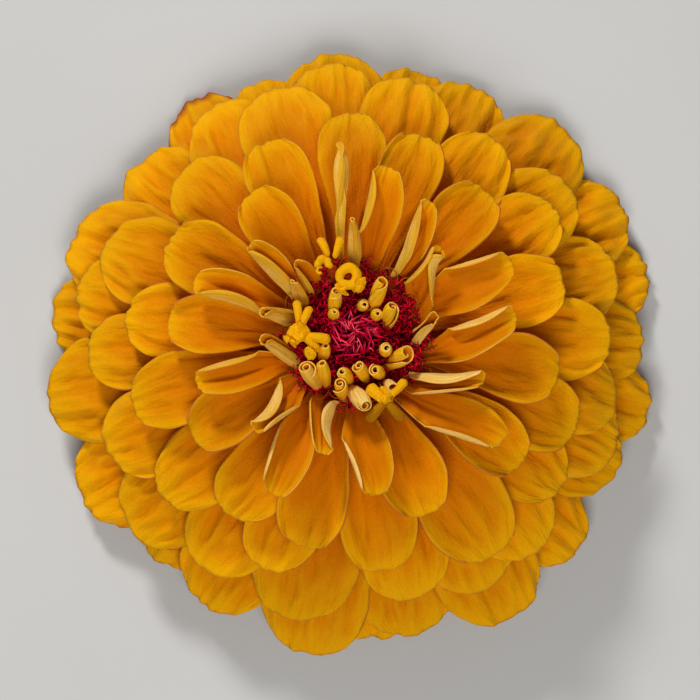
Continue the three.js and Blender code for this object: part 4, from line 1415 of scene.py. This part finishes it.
def stalk_look(settings):
    """The stub's finish: a speckled green side, and a cut face with its pith."""
    def tones(bench):
        split = bench.add("SeparateXYZ", {"Vector": bench.place()}).outputs
        across = bench.add("VectorMath", {0: bench.vector(split["X"], split["Y"], 0.0)},
                           operation="LENGTH").outputs["Value"]
        flesh = bench.grouped("fleshy_grain", Size=2200.0, Patches=420.0)
        shade = bench.span(flesh["Speckle"], 0.3, 0.7, 0.0, 0.6)
        side = bench.blend(shade, settings.stalk, darker(settings.stalk, 0.6))
        pith = bench.blend(bench.span(across, 0.0019, 0.0026), settings.pith, settings.stalk)
        face = bench.span(split["Z"], 0.00004, 0.00016, 1.0, 0.0)
        colour = bench.blend(face, side, pith)
        return grained(bench, colour, flesh, 0.5, 0.7)

    return finish("stalk_skin", tones, 0.4, 0.0002, Sheen_Weight=0.15)


def stub_radius(share):
    """The stub's radius at a share of its height."""
    return STUB_RADIUS + (STUB_FLARE_RADIUS - STUB_RADIUS) * smooth(share, 0.5, 1.0)


class ZINNIA_OT_stem_stub(bpy.types.Operator):
    """Make the ribbed, hairy stub of the stalk with its flat cut face"""

    bl_idname = "zinnia.stem_stub"
    bl_label = "Stem stub"

    def execute(self, context):
        settings = context.scene.zinnia_greens
        shares = [k / 12 for k in range(13)]
        side = [(stub_radius(share), STUB_HEIGHT * share) for share in shares]
        bm = turned([(0, 0), (1.2, 0), (2.4, 0), *side, (0, STUB_HEIGHT)], 72)
        for vert in bm.verts:
            reach = vert.co.xy.length
            if reach > STUB_FACE_RADIUS:
                rib = math.cos(STUB_RIBS * math.atan2(vert.co.y, vert.co.x)) - 1
                vert.co.xy *= 1 + STUB_RIB_HALF_DEPTH * rib / reach
        hairs = blank_mesh()
        draw = random.Random(77)
        for _ in range(settings.stalk_hairs):
            azimuth = draw.uniform(0, 360)
            height = draw.uniform(0.5, STUB_HEIGHT - 0.3)
            reach = stub_radius(height / STUB_HEIGHT) - 0.1
            foot = polar(azimuth, reach, height)
            tip = polar(azimuth + draw.uniform(-6, 6), reach + draw.uniform(0.5, 0.9),
                        height + draw.uniform(-0.1, 0.4))
            thread(hairs, [foot, foot.lerp(tip, 0.3), tip], [0.0, 0.05, 0.0], 3, 0.5)
        weld(hairs)
        piece_from(bm, "stem_stub_ribbed", "stem_stub", [stalk_look(settings)])
        pale = fleshy("stalk_hair", *STALK_HAIR_COLOURS, 3000, 700)
        piece_from(hairs, "stem_hairs", "stem_stub", [pale])
        return {"FINISHED"}


# Stage


def add_softbox(name, place, size, power):
    """A square soft light that faces the flower."""
    data = bpy.data.lights.new(name, "AREA")
    data.shape = "SQUARE"
    data.size = size
    data.energy = power
    lamp = new_object(name, data)
    lamp.location = place
    lamp.rotation_euler = (VIEW_TARGET - place).to_track_quat("-Z", "Y").to_euler()


def floor_look(settings):
    def tones(bench):
        flesh = bench.grouped("fleshy_grain", Size=900.0, Patches=14.0)
        colour = bench.blend(bench.span(flesh["Patch"], 0.3, 0.7), settings.floor,
                             darker(settings.floor, 0.97))
        return grained(bench, colour, flesh, 0.75, 0.85)

    return finish("floor_matt", tones, 0.05, 0.0002)


class ZINNIA_OT_stage(bpy.types.Operator):
    """Set the pale floor, the soft lights and the camera"""

    bl_idname = "zinnia.stage"
    bl_label = "Stage"

    def execute(self, context):
        scene = context.scene
        settings = scene.zinnia_stage
        bm = bmesh.new()
        bmesh.ops.create_grid(bm, x_segments=8, y_segments=8, size=FLOOR_REACH)
        bmesh.ops.translate(bm, vec=(0, 0, -FLOOR_DROP), verts=bm.verts)
        mesh = bpy.data.meshes.new("floor")
        bm.to_mesh(mesh)
        bm.free()
        mesh.materials.append(floor_look(settings))
        floor = new_object("floor", mesh)
        add_softbox("key_light", KEY_PLACE, KEY_SIZE, settings.key)
        add_softbox("fill_light", FILL_PLACE, FILL_SIZE, settings.fill)
        world = bpy.data.worlds.new("room")
        world.use_nodes = True
        glow = world.node_tree.nodes["Background"].inputs
        glow["Color"].default_value = ROOM_COLOUR
        glow["Strength"].default_value = settings.sky
        scene.world = world
        scene.view_settings.view_transform = "Standard"
        data = bpy.data.cameras.new("camera")
        data.lens = VIEW_LENS
        data.sensor_width = SENSOR_WIDTH
        camera = new_object("camera", data)
        back = Vector((0, -math.cos(VIEW_ELEVATION), math.sin(VIEW_ELEVATION)))
        camera.location = VIEW_TARGET + back * VIEW_DISTANCE
        camera.rotation_euler = (-back).to_track_quat("-Z", "Y").to_euler()
        scene.camera = camera
        return {"FINISHED"}


MAKERS = [
    ZINNIA_OT_core, ZINNIA_OT_open_petals, ZINNIA_OT_young_petals, ZINNIA_OT_rolled_rays,
    ZINNIA_OT_star_florets, ZINNIA_OT_styles, ZINNIA_OT_disc_bracts, ZINNIA_OT_involucre,
    ZINNIA_OT_stem_stub, ZINNIA_OT_stage,
]


class ZINNIA_PT_flower(bpy.types.Panel):
    """The flower's pieces and their settings"""

    bl_idname = "ZINNIA_PT_flower"
    bl_label = "Zinnia Flower"
    bl_space_type = "VIEW_3D"
    bl_region_type = "UI"
    bl_category = "Zinnia"

    def draw(self, context):
        for maker in MAKERS:
            self.layout.operator(maker.bl_idname)
        for group in SETTINGS:
            box = self.layout.box()
            settings = getattr(context.scene, group)
            for name in settings.bl_rna.properties.keys():
                if name not in ("rna_type", "name"):
                    box.prop(settings, name)


SETTINGS = {
    "zinnia_petals": ZinniaPetalSettings,
    "zinnia_disc": ZinniaDiscSettings,
    "zinnia_greens": ZinniaGreenSettings,
    "zinnia_stage": ZinniaStageSettings,
}


def register():
    for kind in (*SETTINGS.values(), *MAKERS, ZINNIA_PT_flower):
        bpy.utils.register_class(kind)
    for name, kind in SETTINGS.items():
        setattr(bpy.types.Scene, name, PointerProperty(type=kind))


def unregister():
    for name in SETTINGS:
        delattr(bpy.types.Scene, name)
    for kind in (ZINNIA_PT_flower, *MAKERS, *SETTINGS.values()):
        bpy.utils.unregister_class(kind)


def main():
    register()
    bpy.ops.zinnia.core()
    bpy.ops.zinnia.open_petals()
    bpy.ops.zinnia.young_petals()
    bpy.ops.zinnia.rolled_rays()
    bpy.ops.zinnia.star_florets()
    bpy.ops.zinnia.styles()
    bpy.ops.zinnia.disc_bracts()
    bpy.ops.zinnia.involucre()
    bpy.ops.zinnia.stem_stub()
    bpy.ops.zinnia.stage()


if __name__ == "__main__":
    main()
